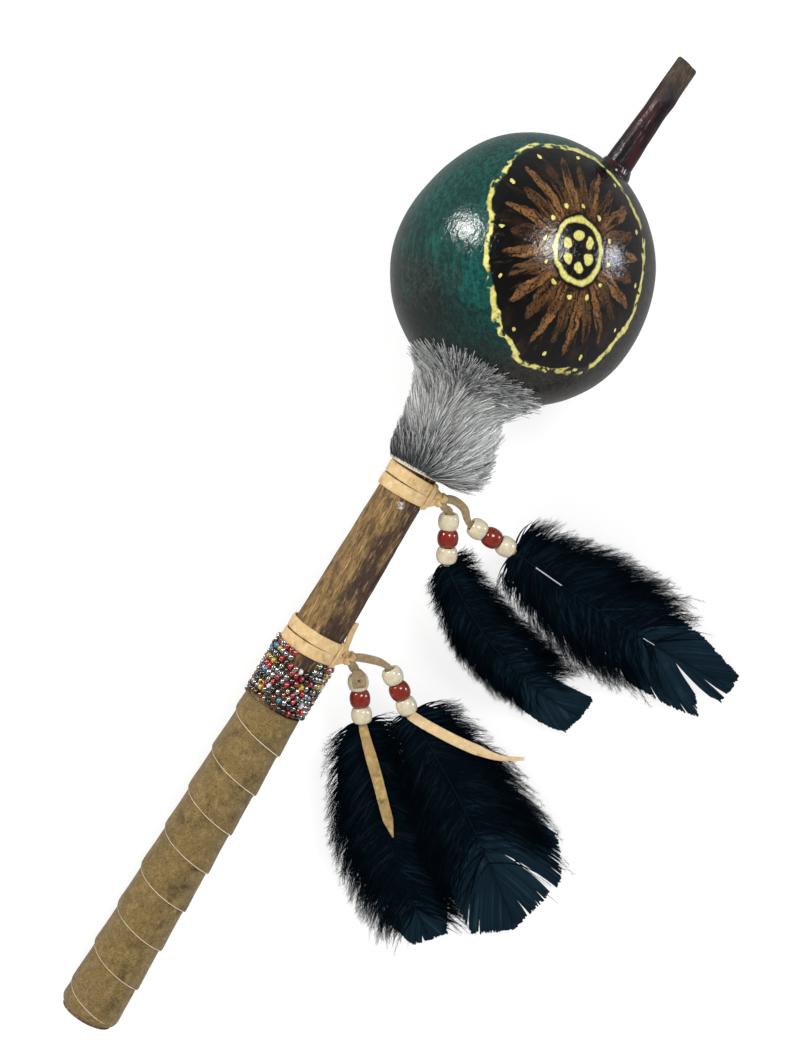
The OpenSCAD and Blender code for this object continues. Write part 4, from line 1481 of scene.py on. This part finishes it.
# %% Hair finish
hair_finish, tree, shader, place = new_finish("fur", Roughness=0.55, Specular_IOR_Level=0.4)
tip = stored(tree, "tip")
shade = stored(tree, "shade")
root = mix(tree, shade, tone(44, 48, 52), tone(112, 115, 115))
middle = mix(tree, shade, tone(76, 81, 84), tone(206, 208, 206))
silver = mix(tree, shade, tone(136, 141, 143), tone(246, 246, 243))
colour = mix(tree, smooth_step(tree, tip, 0.0, 0.5), root, middle)
colour = mix(tree, smooth_step(tree, tip, 0.4, 0.95), colour, silver)
dark_hair = mix(tree, smooth_step(tree, tip, 0.0, 0.9), tone(34, 36, 38), tone(78, 80, 80))
colour = mix(tree, smooth_step(tree, shade, 0.16, 0.1), colour, dark_hair)
tree.links.new(colour, shader.inputs["Base Color"])
print("hair finish:", hair_finish.name)

# %% Hair tree
HAIR_STRAY = 0.13
tree, given = new_tree("fur_hairs", {
    "Density": 1.0e6, "Length": 0.01, "Width": 0.00012, "Bend": 0.2, "Clump": 0.75, "Seed": 1,
    "Finish": hair_finish,
})
spots = add(tree, "GeometryNodeDistributePointsOnFaces", {
    "Mesh": given["Geometry"], "Density": given["Density"], "Seed": given["Seed"],
})
flow = add(tree, "GeometryNodeInputNamedAttribute", {"Name": "flow"}, data_type="FLOAT_VECTOR").outputs[0]
grow = add(tree, "GeometryNodeInputNamedAttribute", {"Name": "grow"}, data_type="FLOAT").outputs[0]
light = add(tree, "GeometryNodeInputNamedAttribute", {"Name": "light"}, data_type="FLOAT").outputs[0]
stray = random_vector(tree, (-HAIR_STRAY,) * 3, (HAIR_STRAY,) * 3, 4)
here = add(tree, "GeometryNodeInputPosition").outputs[0]
pull = shake(tree, here, 330, 1, given["Clump"])
heading = vector_node(tree, "ADD", vector_node(tree, "ADD", flow, stray), pull)
turn_up = add(tree, "FunctionNodeAlignRotationToVector", {"Vector": heading}, axis="Z").outputs[0]
turn_up = add(tree, "FunctionNodeAlignRotationToVector", {
    "Rotation": turn_up, "Vector": spots.outputs["Normal"],
}, axis="X", pivot_axis="Z").outputs[0]
bow = add(tree, "ShaderNodeCombineXYZ", {"X": given["Bend"], "Z": 0.5}).outputs[0]
strand = add(tree, "GeometryNodeCurveQuadraticBezier", {
    "Resolution": 3, "Start": (0.0, 0.0, 0.0), "Middle": bow, "End": (0.0, 0.0, 1.0),
}).outputs[0]
share = add(tree, "GeometryNodeSplineParameter").outputs["Factor"]
thin = add(tree, "ShaderNodeMapRange", {"Value": share, "To Min": 1.0, "To Max": 0.12}).outputs[0]
strand = add(tree, "GeometryNodeSetCurveRadius", {"Curve": strand, "Radius": thin}).outputs[0]
strand = keep_value(tree, strand, "tip", share, "POINT")
girth = circle(tree, 3, 1.0)
lengths = random_number(tree, 0.65, 1.2, 6)
lengths = times(tree, times(tree, lengths, grow), given["Length"])
ratio = math_node(tree, "DIVIDE", given["Width"], given["Length"])
slim = add(tree, "ShaderNodeCombineXYZ", {"X": ratio, "Y": ratio, "Z": 1.0}).outputs[0]
girth = add(tree, "GeometryNodeTransform", {"Geometry": girth, "Scale": slim}).outputs[0]
tube = {"Curve": strand, "Profile Curve": girth, "Fill Caps": True}
hair = add(tree, "GeometryNodeCurveToMesh", tube).outputs[0]
hairs = add(tree, "GeometryNodeInstanceOnPoints", {
    "Points": spots.outputs["Points"], "Instance": hair, "Rotation": turn_up, "Scale": lengths,
}).outputs[0]
tint = random_number(tree, -0.5, 0.5, 9)
tint = add(tree, "ShaderNodeClamp", {0: plus(tree, tint, light)}).outputs[0]
hairs = keep_value(tree, hairs, "shade", tint, "INSTANCE")
end_tree(tree, hairs, given["Finish"])
fur_tree = tree
print("hair tree:", len(tree.nodes), "nodes")


# %% Fur
LAYER_ROWS = 26
LAYER_SIDES = 96


def fur_layer(name, low, high, seed, density, length, width, bend, lift):
    """Hairs on one part of the skin: the base carries their direction, growth and lightness."""
    points, flows, grows, lights = [], [], [], []
    for i in range(LAYER_ROWS + 1):
        for k in range(LAYER_SIDES):
            turn = k / LAYER_SIDES
            g = fur_level(turn, low + (high - low) * i / LAYER_ROWS)
            here = fur_skin_place(g, turn)
            ahead = (fur_skin_place(g + 7, turn) - here).normalized()
            around = (fur_skin_place(g, turn + 0.01) - here).normalized()
            normal = ahead.cross(around).normalized()
            right = max(0.0, math.cos(turn * math.tau - 0.25))
            low_end = max(0.0, 1 - (g - FUR_LOW) / 16)
            rise = lift * (0.5 + 0.5 * right + 0.5 * low_end) + 0.22 * right ** 2 * low_end
            fan = 0.6 * math.sin(2 * math.tau * (turn - 0.25)) + 0.25 * noise.noise(here * 90)
            flows.append((ahead + normal * rise + around * fan).normalized())
            over = max(0.0, (g + 66) / 14)
            grows.append(0.85 + 0.15 * right - 0.35 * low_end * (1 - right))
            cloud = 0.5 + 0.45 * noise.noise(here * 110)
            lights.append(0.47 + 0.04 * right + 0.4 * cloud - 0.6 * low_end * (1.3 - right) - 0.2 * over)
            points.append(here)
    faces = [tuple(reversed(face)) for face in skin(LAYER_ROWS + 1, LAYER_SIDES, caps=False)]
    layer = new_piece(name, points, faces)
    flow_data = layer.data.attributes.new("flow", "FLOAT_VECTOR", "POINT")
    flow_data.data.foreach_set("vector", [value for flow_way in flows for value in flow_way])
    for title, values in (("grow", grows), ("light", lights)):
        layer.data.attributes.new(title, "FLOAT", "POINT").data.foreach_set("value", values)
    settle(layer, fur_tree, Density=density, Length=length, Width=width, Bend=bend, Seed=seed)
    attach(layer, "rattle")
    layer.data.calc_loop_triangles()
    print(name, len(layer.data.loop_triangles), "triangles")
    return layer


# Name, from and to as shares of the strip, seed, hairs per square metre, length, width, bend and lift
FUR_LAYERS = [
    ("fur_undercoat", 0.01, 0.96, 11, 1.2e6, 0.0085, 0.00016, 0.12, 0.2),
    ("fur_hem", 0.01, 0.42, 23, 2.4e6, 0.0125, 0.00016, 0.1, 0.3),
    ("fur_waist", 0.3, 0.68, 29, 2.6e6, 0.0165, 0.00017, 0.08, 0.22),
    ("fur_shoulder", 0.58, 0.86, 37, 3.0e6, 0.0145, 0.00017, 0.07, 0.14),
    ("fur_crest", 0.8, 1.0, 43, 3.2e6, 0.0125, 0.00013, 0.05, 0.06),
]
fur_layers = [fur_layer(*row) for row in FUR_LAYERS]
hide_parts("fur_pile")

# %% [markdown]
# The feathers
#
# Four black feathers hang from the last beads. The lower part of each is fluffy down and the end
# is a flat vane with a cut end, whose barbs have split into tufts. A flat card with a fringe picture
# would look dead from the side, so each feather is grown the way a real one is: a quill, then
# barbs that leave it on both sides and bend toward the tip. The script only draws the middle lines
# of the barbs. Geometry Nodes dress them: a vane barb becomes a thin flat ribbon that overlaps its
# neighbour, and a down barb becomes a fine shaft with hundreds of loose barbules.

# %% Feather shapes
FEATHER_TURN = [18.6, 2.2, 42.2, 33.8]
FEATHER_LEN = [96, 119, 105, 109]
FEATHER_BEND = [-8.5, -2, -4, 3]
QUILL_DROP = 1.0
TABLE_GAP = 0.0032
VANE_FROM = [0.56, 0.42, 0.7, 0.38]
DOWN_TO = [0.66, 0.56, 0.8, 0.54]
FLUFF_END = [0.82, 0.64, 0.84, 0.72]
# Half widths in mm along the feather: the side toward the butt, then the side toward the gourd
DOWN_SIDES = [
    ([(0, 6), (0.1, 12), (0.3, 15), (0.55, 14), (0.72, 12), (1, 8)],
     [(0, 6), (0.1, 13), (0.3, 16), (0.5, 19), (0.7, 18), (0.78, 11), (1, 8)]),
    ([(0, 8), (0.1, 18), (0.3, 26), (0.52, 25), (0.68, 18), (0.84, 13), (1, 8)],
     [(0, 8), (0.1, 19), (0.3, 26), (0.5, 25), (0.64, 20), (0.8, 15), (1, 8)]),
    ([(0, 8), (0.12, 18), (0.3, 24), (0.55, 25), (0.75, 22), (0.9, 16), (1, 8)],
     [(0, 8), (0.12, 18), (0.3, 24), (0.55, 28), (0.75, 25), (0.9, 18), (1, 8)]),
    ([(0, 8), (0.15, 18), (0.4, 25), (0.7, 25), (1, 16)],
     [(0, 9), (0.1, 20), (0.25, 26), (0.5, 31), (0.65, 29), (1, 18)]),
]
VANE_SIDES = [
    ([(0.5, 9), (0.75, 11), (0.88, 11.5), (0.96, 11), (1, 9.5)],
     [(0.5, 7), (0.72, 8), (0.86, 9.5), (1, 11)]),
    ([(0.4, 14), (0.6, 20), (0.84, 20), (0.93, 19), (1, 17)],
     [(0.4, 10), (0.7, 15.5), (0.8, 14), (0.92, 9.5), (1, 6.5)]),
    ([(0.6, 10), (0.8, 15), (0.92, 12), (1, 8)],
     [(0.6, 10), (0.8, 15), (0.92, 12), (1, 8)]),
    ([(0.4, 12), (0.6, 18), (0.8, 20), (0.93, 19), (1, 17)],
     [(0.4, 18), (0.55, 30), (0.7, 33), (0.8, 31), (0.9, 27), (1, 20)]),
]
# The cut end on each side: how far it goes on beyond the quill, in mm for each mm across
CUT_SLANT = [(0.1, -0.18), (0.0, 0.0), (0.0, 0.0), (-0.3, -0.34)]
# Where the vane has split: (place on the quill, degrees the barbs beyond it lean out)
SPLITS = [
    ([(0, 0), (0.9, -2)], [(0, 0), (0.88, 1)]),
    ([(0, 4), (0.72, -8), (0.8, -14)], [(0, 2), (0.9, -2)]),
    ([(0, 4), (0.9, -5)], [(0, 2), (0.92, -4)]),
    ([(0, 5), (0.6, 2.5), (0.74, 2), (0.86, 0)],
     [(0, 9), (0.5, 8), (0.6, 3), (0.7, 2), (0.76, -3), (0.86, -5)]),
]
# A notch between two lobes: its inner place and width, and the place and width of the lobe's point
NOTCHES = {(1, -1): (0.88, 7.5, 0.96, 18)}
print("feathers:", FEATHER_LEN, "mm long")


# %% Feather places
def feather_place(d, t, side=0.0):
    """A place on a feather: t along the quill, side in mm across it."""
    turn = math.radians(FEATHER_TURN[d])
    across = Vector((math.cos(turn), math.sin(turn)))
    root = bead_place(d, BEADS_LEN) + turned(FEATHER_TURN[d]) * FEATHER_LEN[d] * t
    return root + across * (FEATHER_BEND[d] * 4 * t * (1 - t) + side)


def half_width(sides, d, hand, t):
    return between(sides[d][0 if hand < 0 else 1], min(max(t, 0.0), 1.0))


def smooth(t):
    t = min(max(t, 0.0), 1.0)
    return t * t * (3 - 2 * t)


def feather_height(d, t, side):
    """The feather is a shallow gutter, and the lower right one lies over its neighbour."""
    over = (0.0, 0.0, -1.6, 1.6)[d] * smooth(t / 0.2)
    return -QUILL_DROP - 0.006 * side * side * (1 - 0.6 * t) + over


def barb(d, hand, t, lean, lean_end, reach, rise, wave=0.0, phase=0.0, start=0.0, count=10):
    """The middle line of one barb, from the quill, or a share of the way out, to its end."""
    along, across, points = t * FEATHER_LEN[d], 0.0, []
    whole = reach / math.sin(math.radians(0.5 * (lean + lean_end)))
    for k in range(count):
        f = k / (count - 1)
        height = feather_height(d, along / FEATHER_LEN[d], across) + rise * f
        if f >= start:
            point = on_drop(d, feather_place(d, along / FEATHER_LEN[d], hand * across), height)
            points.append(point)
        angle = math.radians(lean + (lean_end - lean) * f + wave * math.sin(5 * f + phase))
        along += math.cos(angle) * whole / (count - 1)
        across += math.sin(angle) * whole / (count - 1)
    return points


def barb_lines(name, lines):
    """A piece of loose edges, one chain for each barb."""
    points, edges = [], []
    for line in lines:
        edges += [(len(points) + k, len(points) + k + 1) for k in range(len(line) - 1)]
        points += [tuple(point) for point in line]
    mesh = bpy.data.meshes.new(name)
    mesh.from_pydata(points, edges, [])
    piece = bpy.data.objects.new(name, mesh)
    bpy.context.scene.collection.objects.link(piece)
    return piece


# %% Feather finishes
def plume(name, dark, light, roughness, gloss):
    """Blue-black barbs, each a little different."""
    material, tree, shader, place = new_finish(name, Roughness=roughness, Specular_IOR_Level=gloss,
                                               Specular_Tint=(0.45, 0.72, 1.0, 1.0))
    shade = stored(tree, "shade")
    cast = cloud_mask(tree, place, 70, 0.35, 0.7)
    colour = mix(tree, math_node(tree, "POWER", shade, 2.5), dark, light)
    colour = mix(tree, cast, colour, dark)
    tree.links.new(colour, shader.inputs["Base Color"])
    set_bump(tree, shader, grain_height(tree, place, 2200, 0.4), 0.00005)
    return material


down_finish = plume("feather_down", tone(2, 8, 14), tone(14, 28, 38), 0.7, 0.04)
tuft_finish = plume("feather_tufts", tone(2, 8, 14), tone(18, 32, 42), 0.65, 0.05)
vane_finish = plume("feather_vane", tone(13, 29, 39), tone(30, 50, 61), 0.5, 0.12)
quill_finish = plume("feather_quill", tone(6, 14, 20), tone(46, 56, 62), 0.5, 0.2)
# A pale finish for some rings of the quill: a painted highlight that stands for white glints on the quill.
quill_glint_paint = plume("feather_quill_painted_glint", tone(190, 196, 198), tone(220, 224, 224), 0.35, 0.5)
print("feather finishes:", down_finish.name, vane_finish.name, quill_finish.name)

# %% Down tree
tree, given = new_tree("feather_down", {
    "Shaft": 0.00007, "Step": 0.0005, "Barbule": 0.0034, "Girth": 0.00005, "Seed": 1, "Finish": down_finish,
})
strands = add(tree, "GeometryNodeMeshToCurve", {"Mesh": given["Geometry"]}).outputs[0]
share = add(tree, "GeometryNodeSplineParameter").outputs["Factor"]
thin = add(tree, "ShaderNodeMapRange", {"Value": share, "To Min": 1.0, "To Max": 0.3}).outputs[0]
strands = add(tree, "GeometryNodeSetCurveRadius", {"Curve": strands, "Radius": thin}).outputs[0]
girth = circle(tree, 3, given["Shaft"])
shafts = add(tree, "GeometryNodeCurveToMesh", {
    "Curve": strands, "Profile Curve": girth, "Scale": thin, "Fill Caps": True,
}).outputs[0]
spots = add(tree, "GeometryNodeCurveToPoints", {"Curve": strands, "Length": given["Step"]}, mode="LENGTH")
lean = random_vector(tree, (0.3, 0.0, 0.0), (0.85, 0.0, math.tau), given["Seed"])
lean = add(tree, "FunctionNodeEulerToRotation", {"Euler": lean}).outputs[0]
aim = add(tree, "FunctionNodeRotateRotation", {
    "Rotation": spots.outputs["Rotation"], "Rotate By": lean,
}, rotation_space="LOCAL").outputs[0]
barbule = add(tree, "GeometryNodeMeshCone", {
    "Vertices": 3, "Radius Top": 0.0, "Radius Bottom": given["Girth"], "Depth": given["Barbule"],
}, fill_type="NGON").outputs[0]
lengths = random_number(tree, 0.5, 1.15, 7)
barbules = add(tree, "GeometryNodeInstanceOnPoints", {
    "Points": spots.outputs["Points"], "Instance": barbule, "Rotation": aim, "Scale": lengths,
}).outputs[0]
tint = random_number(tree, 0.0, 1.0, 13)
barbules = keep_value(tree, barbules, "shade", tint, "INSTANCE")
both = tree.nodes.new("GeometryNodeJoinGeometry")
tree.links.new(shafts, both.inputs[0])
tree.links.new(barbules, both.inputs[0])
end_tree(tree, both.outputs[0], given["Finish"])
down_tree = tree
print("down tree:", len(tree.nodes), "nodes")

# %% Vane tree
tree, given = new_tree("feather_vane", {
    "Width": 0.0013, "Thick": 0.00014, "Full": 0.75, "Tip": 0.5, "Finish": vane_finish,
})
strands = add(tree, "GeometryNodeMeshToCurve", {"Mesh": given["Geometry"]}).outputs[0]
strands = add(tree, "GeometryNodeSetCurveNormal", {"Curve": strands}, mode="Z_UP").outputs[0]
share = add(tree, "GeometryNodeSplineParameter").outputs["Factor"]
thin = add(tree, "ShaderNodeMapRange", {
    "Value": share, "From Min": given["Full"], "To Min": 1.0, "To Max": given["Tip"],
}).outputs[0]
tint = random_number(tree, 0.0, 1.0, 17)
strands = keep_value(tree, strands, "shade", tint, "CURVE")
section = {"Width": given["Width"], "Height": given["Thick"]}
flat = add(tree, "GeometryNodeCurvePrimitiveQuadrilateral", section).outputs[0]
ribbons = add(tree, "GeometryNodeCurveToMesh", {
    "Curve": strands, "Profile Curve": flat, "Scale": thin, "Fill Caps": True,
}).outputs[0]
end_tree(tree, ribbons, given["Finish"])
vane_tree = tree
print("vane tree:", len(tree.nodes), "nodes")


# %% Barb lines
VANE_STEP = 0.5
VANE_END = 0.99


def fluff_lines(d, seed, count, reach, rise, start=0.0):
    """Loose barbs of the fluffy part: reach is their share of the outline, rise their height."""
    rnd = random.Random(seed + d)
    lines = []
    for hand in (-1, 1):
        for k in range(count):
            t = DOWN_TO[d] * (k + rnd.random()) / count
            t = max(t, min(FLUFF_END[d], t + rnd.uniform(-0.6, 0.18)))
            across = half_width(DOWN_SIDES, d, hand, t + 0.1) * rnd.uniform(*reach)
            layer = rnd.uniform(*rise) * (1 - 0.5 * t)
            spread = 26 * (1 - smooth(t / 0.16))
            lean, lean_end = rnd.uniform(44, 76) + spread, rnd.uniform(16, 50) + spread
            wave, phase = rnd.uniform(2, 16), rnd.uniform(0, 6)
            line = barb(d, hand, t, lean, lean_end, across, layer, wave, phase, start)
            for point in line:
                point.z = max(point.z, TABLE_GAP)
            lines.append(line)
    return lines


def vane_lines(d):
    """Barbs of the flat end, side by side, in the tufts that the splits have left."""
    rnd = random.Random(200 + d)
    lines = []
    for hand, splits in zip((-1, 1), SPLITS[d]):
        first = VANE_FROM[d]
        count = int((VANE_END - first) * FEATHER_LEN[d] / VANE_STEP)
        parting, left = 0.0, 0
        for k in range(count):
            if left == 0:
                parting, left = rnd.uniform(-1.4, 1.4), rnd.randint(7, 18)
            left -= 1
            t = first + (VANE_END - first) * k / count
            split = [turn for place, turn in splits if place <= t][-1]
            lean = 40 - 24 * smooth((t - first) / (1 - first)) + split
            lean = max(7.0, lean + parting + 0.6 * rnd.uniform(-1, 1))
            reach = vane_reach(d, hand, t, lean) * rnd.uniform(0.955, 1.0)
            lines.append(barb(d, hand, t, lean, lean * 0.62, reach, 0.25 * (k % 3) - 0.2, count=13))
    return lines


def vane_reach(d, hand, t, lean):
    """How far across a barb goes before it meets the outline, a notch or the cut end."""
    slope = math.tan(math.radians(lean * 0.81)) * FEATHER_LEN[d]
    notch_t, notch_w, point_t, point_w = NOTCHES.get((d, hand), (2, 1, 3, 2))
    far = 0.0
    while True:
        place = t + far / slope
        edge = notch_t + (far - notch_w) * (point_t - notch_t) / (point_w - notch_w)
        beyond_cut = place > 1 + CUT_SLANT[d][0 if hand < 0 else 1] * far / FEATHER_LEN[d]
        if beyond_cut or far > half_width(VANE_SIDES, d, hand, place) or (far > notch_w and place > edge):
            return max(0.1, far - 0.2)
        far += 0.2


# %% Quill and core
QUILL_STATIONS = [0.01, 0.1, 0.2, 0.3, 0.4, 0.5, 0.6, 0.7, 0.8, 0.9, 0.97]
QUILL_RINGS = 60
QUILL_SIDES = 8
# Rings of the upper right quill that take the pale painted glint finish.
GLINT_RINGS = {1: [(8, 15), (37, 40)]}
CORE_RINGS = 31
CORE_SIDES = 16
CORE_SHARE = 0.7
CORE_T = 1.4


def quill_and_core(d):
    """The quill from inside the last bead to the cut end, with a painted glint on some of its rings, and a
    dark core below the down.
    """
    places = [bead_place(d, BEADS_LEN - 3.2), bead_place(d, BEADS_LEN - 1)]
    points = [on_drop(d, place, -QUILL_DROP) for place in places]
    for t in QUILL_STATIONS:
        points.append(on_drop(d, feather_place(d, t), feather_height(d, t, 0) + 0.5 * smooth(t * 8)))
    path = evenly(smooth_path(points, 6), QUILL_RINGS)
    sizes = [(0.62 - 0.4 * i / (QUILL_RINGS - 1)) * MM for i in range(QUILL_RINGS)]
    facing = [DROP_UP[d]] * QUILL_RINGS
    rings = ribbon_rings(path, facing, sizes, [size * 0.8 for size in sizes], QUILL_SIDES, 1.0)
    quill = new_piece(DROPS[d] + "_quill", rings, skin(QUILL_RINGS, QUILL_SIDES), quill_finish, quill_glint_paint)
    for polygon in quill.data.polygons:
        ring = polygon.index // QUILL_SIDES
        polygon.material_index = int(any(low <= ring < high for low, high in GLINT_RINGS.get(d, [])))
    core_path, core_widths = [], []
    for i in range(CORE_RINGS):
        t = i / (CORE_RINGS - 1) * DOWN_TO[d] + 0.015
        left, right = (half_width(DOWN_SIDES, d, hand, t) * CORE_SHARE for hand in (-1, 1))
        height = feather_height(d, t, 0) - 1.6 + 0.9 * t
        core_path.append(on_drop(d, feather_place(d, t, (right - left) / 2), height))
        narrowing = 1 - 0.75 * smooth((t - DOWN_TO[d] + 0.16) / 0.16)
        core_widths.append(max(1.0, left + right) * MM * narrowing)
    facing = [DROP_UP[d]] * CORE_RINGS
    core_rings = ribbon_rings(core_path, facing, core_widths, [CORE_T * MM] * CORE_RINGS, CORE_SIDES, 0.9)
    core = new_piece(DROPS[d] + "_feather_core", core_rings, skin(CORE_RINGS, CORE_SIDES), down_finish)
    return quill, core


# %% Feathers
DOWN_BARBS = 360
DOWN_TUFTS = 620
DOWN_STEP = [0.0002, 0.00025, 0.00026, 0.00026]
for d, drop in enumerate(DROPS):
    quill, core = quill_and_core(d)
    fuzz = fluff_lines(d, 100, DOWN_BARBS, (0.76, 1.05), (-2.2, 2.4), 0.5)
    down = settle(barb_lines(drop + "_down", fuzz), down_tree, Seed=31 + d, Step=DOWN_STEP[d])
    locks = fluff_lines(d, 300, DOWN_TUFTS, (0.7, 1.0), (-2.4, 2.0))
    tufts = settle(barb_lines(drop + "_tufts", locks), vane_tree,
                   Width=0.0008, Thick=0.0003, Full=0.35, Tip=0.03, Finish=tuft_finish)
    vane = settle(barb_lines(drop + "_vane", vane_lines(d)), vane_tree)
    for piece in (quill, core, down, tufts, vane):
        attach(piece, drop + "_drop")
        piece.data.calc_loop_triangles()
    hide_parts(drop + "_feather")
    counts = [len(piece.data.loop_triangles) for piece in (quill, core, down, tufts, vane)]
    print(drop, "feather:", counts, "triangles")

# %% [markdown]
# Pebbles, paint and glue
#
# Twelve small stones lie in the gourd and jump when it is shaken. Nobody sees them from outside,
# but they are real parts, so each is a lumpy stone of its own. A collar of thick dark paint seals
# the stick at the crown, and a cloudy drop of glue has dried on the wood below the upper lace.

# %% Pebbles
stone, tree, shader, place = new_finish("pebble_stone", Roughness=0.75)
flecks = cloud_mask(tree, place, 1600, 0.45, 0.6)
clouded = cloud_mask(tree, place, 380, 0.35, 0.65)
colour = mix(tree, clouded, tone(112, 108, 102), tone(140, 128, 112))
tree.links.new(mix(tree, flecks, colour, tone(72, 70, 70)), shader.inputs["Base Color"])
set_bump(tree, shader, grain_height(tree, place, 1400, 0.3), 0.0001)
PEBBLES = [name for name in frame["bodies"] if name.startswith("pebble_")]


def unit_ball():
    """Points and faces of a ball of triangles with a radius of one."""
    ball = bmesh.new()
    bmesh.ops.create_icosphere(ball, subdivisions=3, radius=1.0)
    points = [vertex.co.copy() for vertex in ball.verts]
    faces = [tuple(vertex.index for vertex in face.verts) for face in ball.faces]
    ball.free()
    return points, faces


def pebble(name, number):
    """A worn stone: a ball of triangles, pushed in and out by soft noise."""
    low, high = (Vector(corner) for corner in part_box(name))
    middle, radius = (low + high) / 2, (high - low).x / 2
    ball, faces = unit_ball()
    points = []
    for out in ball:
        dent = 0.94 + 0.1 * noise.noise(out * 1.1 + Vector((number * 7, 0, 0)))
        points.append(middle + out * radius * min(1.0, dent))
    piece = new_piece(name + "_stone", points, faces, stone)
    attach(piece, name)
    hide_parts(name)
    return piece


stones = [pebble(name, number) for number, name in enumerate(PEBBLES)]
print("pebbles:", len(stones))

# %% Crown paint
CROWN_PROFILE = [
    (1.3, -4.5), (1.3, -0.8), (1.0, 0.3), (0.6, 1.2), (0.3, 2.0), (0.1, 2.6), (-0.6, 2.7), (-0.6, -4.5),
]
crown_paint = cloudy_finish("crown_paint", tone(14, 13, 16), tone(64, 24, 26), (260, 0.4, 0.6),
                            (420, 0.1, 0.0004), Roughness=0.18, Coat_Weight=0.5, Coat_Roughness=0.08)
crown_points = []
for reach, d in CROWN_PROFILE:
    for k in range(STICK_SIDES):
        angle = math.tau * k / STICK_SIDES
        side = spindle_right * math.cos(angle) + spindle_up * math.sin(angle)
        blob = 0.25 * noise.noise(side * 2.2) + 0.12 * noise.noise(side * 5) if reach > 0 else 0.0
        spot = SPINDLE_WAY * (CROWN_D + d + blob) + side * (SPINDLE_R + reach + blob)
        crown_points.append(SPINDLE_FROM + spot * MM)
crown_faces = ring_skin(len(CROWN_PROFILE), STICK_SIDES)
crown = new_piece("crown_paint", crown_points, crown_faces, crown_paint)
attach(crown, "rattle")
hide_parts("crown_glue")
print("crown paint:", len(crown_faces), "faces")

# %% Glue
amber_glue = cloudy_finish("amber_glue", tone(150, 112, 66), tone(190, 156, 104), (240, 0.4, 0.65),
                           (500, 0.1, 0.0003), Roughness=0.2, Coat_Weight=0.4)
neck_glue = frame["nodes"]["neck_glue"]
neck_glue.data.materials.clear()
neck_glue.data.materials.append(amber_glue)
DAB_AT = 262.3
DAB_TURN = 0.215
DAB_R = 1.7
DAB_H = 0.8
clear_glue = cloudy_finish("clear_glue", tone(128, 108, 84), tone(214, 210, 204), (900, 0.4, 0.65),
                           (900, 0.2, 0.0002), Roughness=0.15, Coat_Weight=0.8, Coat_Roughness=0.05)
dab_up = (around_stick(DAB_AT, DAB_TURN, 1) - on_stick(DAB_AT)).normalized()
dab_side = dab_up.cross(ALONG)
dab_foot = around_stick(DAB_AT, DAB_TURN, handle_radius(DAB_AT) - 0.1)
ball, dab_faces = unit_ball()
dab_points = []
for out in ball:
    lump = out * (1 + 0.3 * noise.noise(out * 1.3))
    spot = ALONG * lump.x * DAB_R + dab_side * lump.y * DAB_R + dab_up * lump.z * DAB_H
    dab_points.append(dab_foot + spot * MM)
dab = new_piece("glue_dab", dab_points, dab_faces, clear_glue)
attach(dab, "rattle")
print("glue on", neck_glue.name, "and", dab.name)
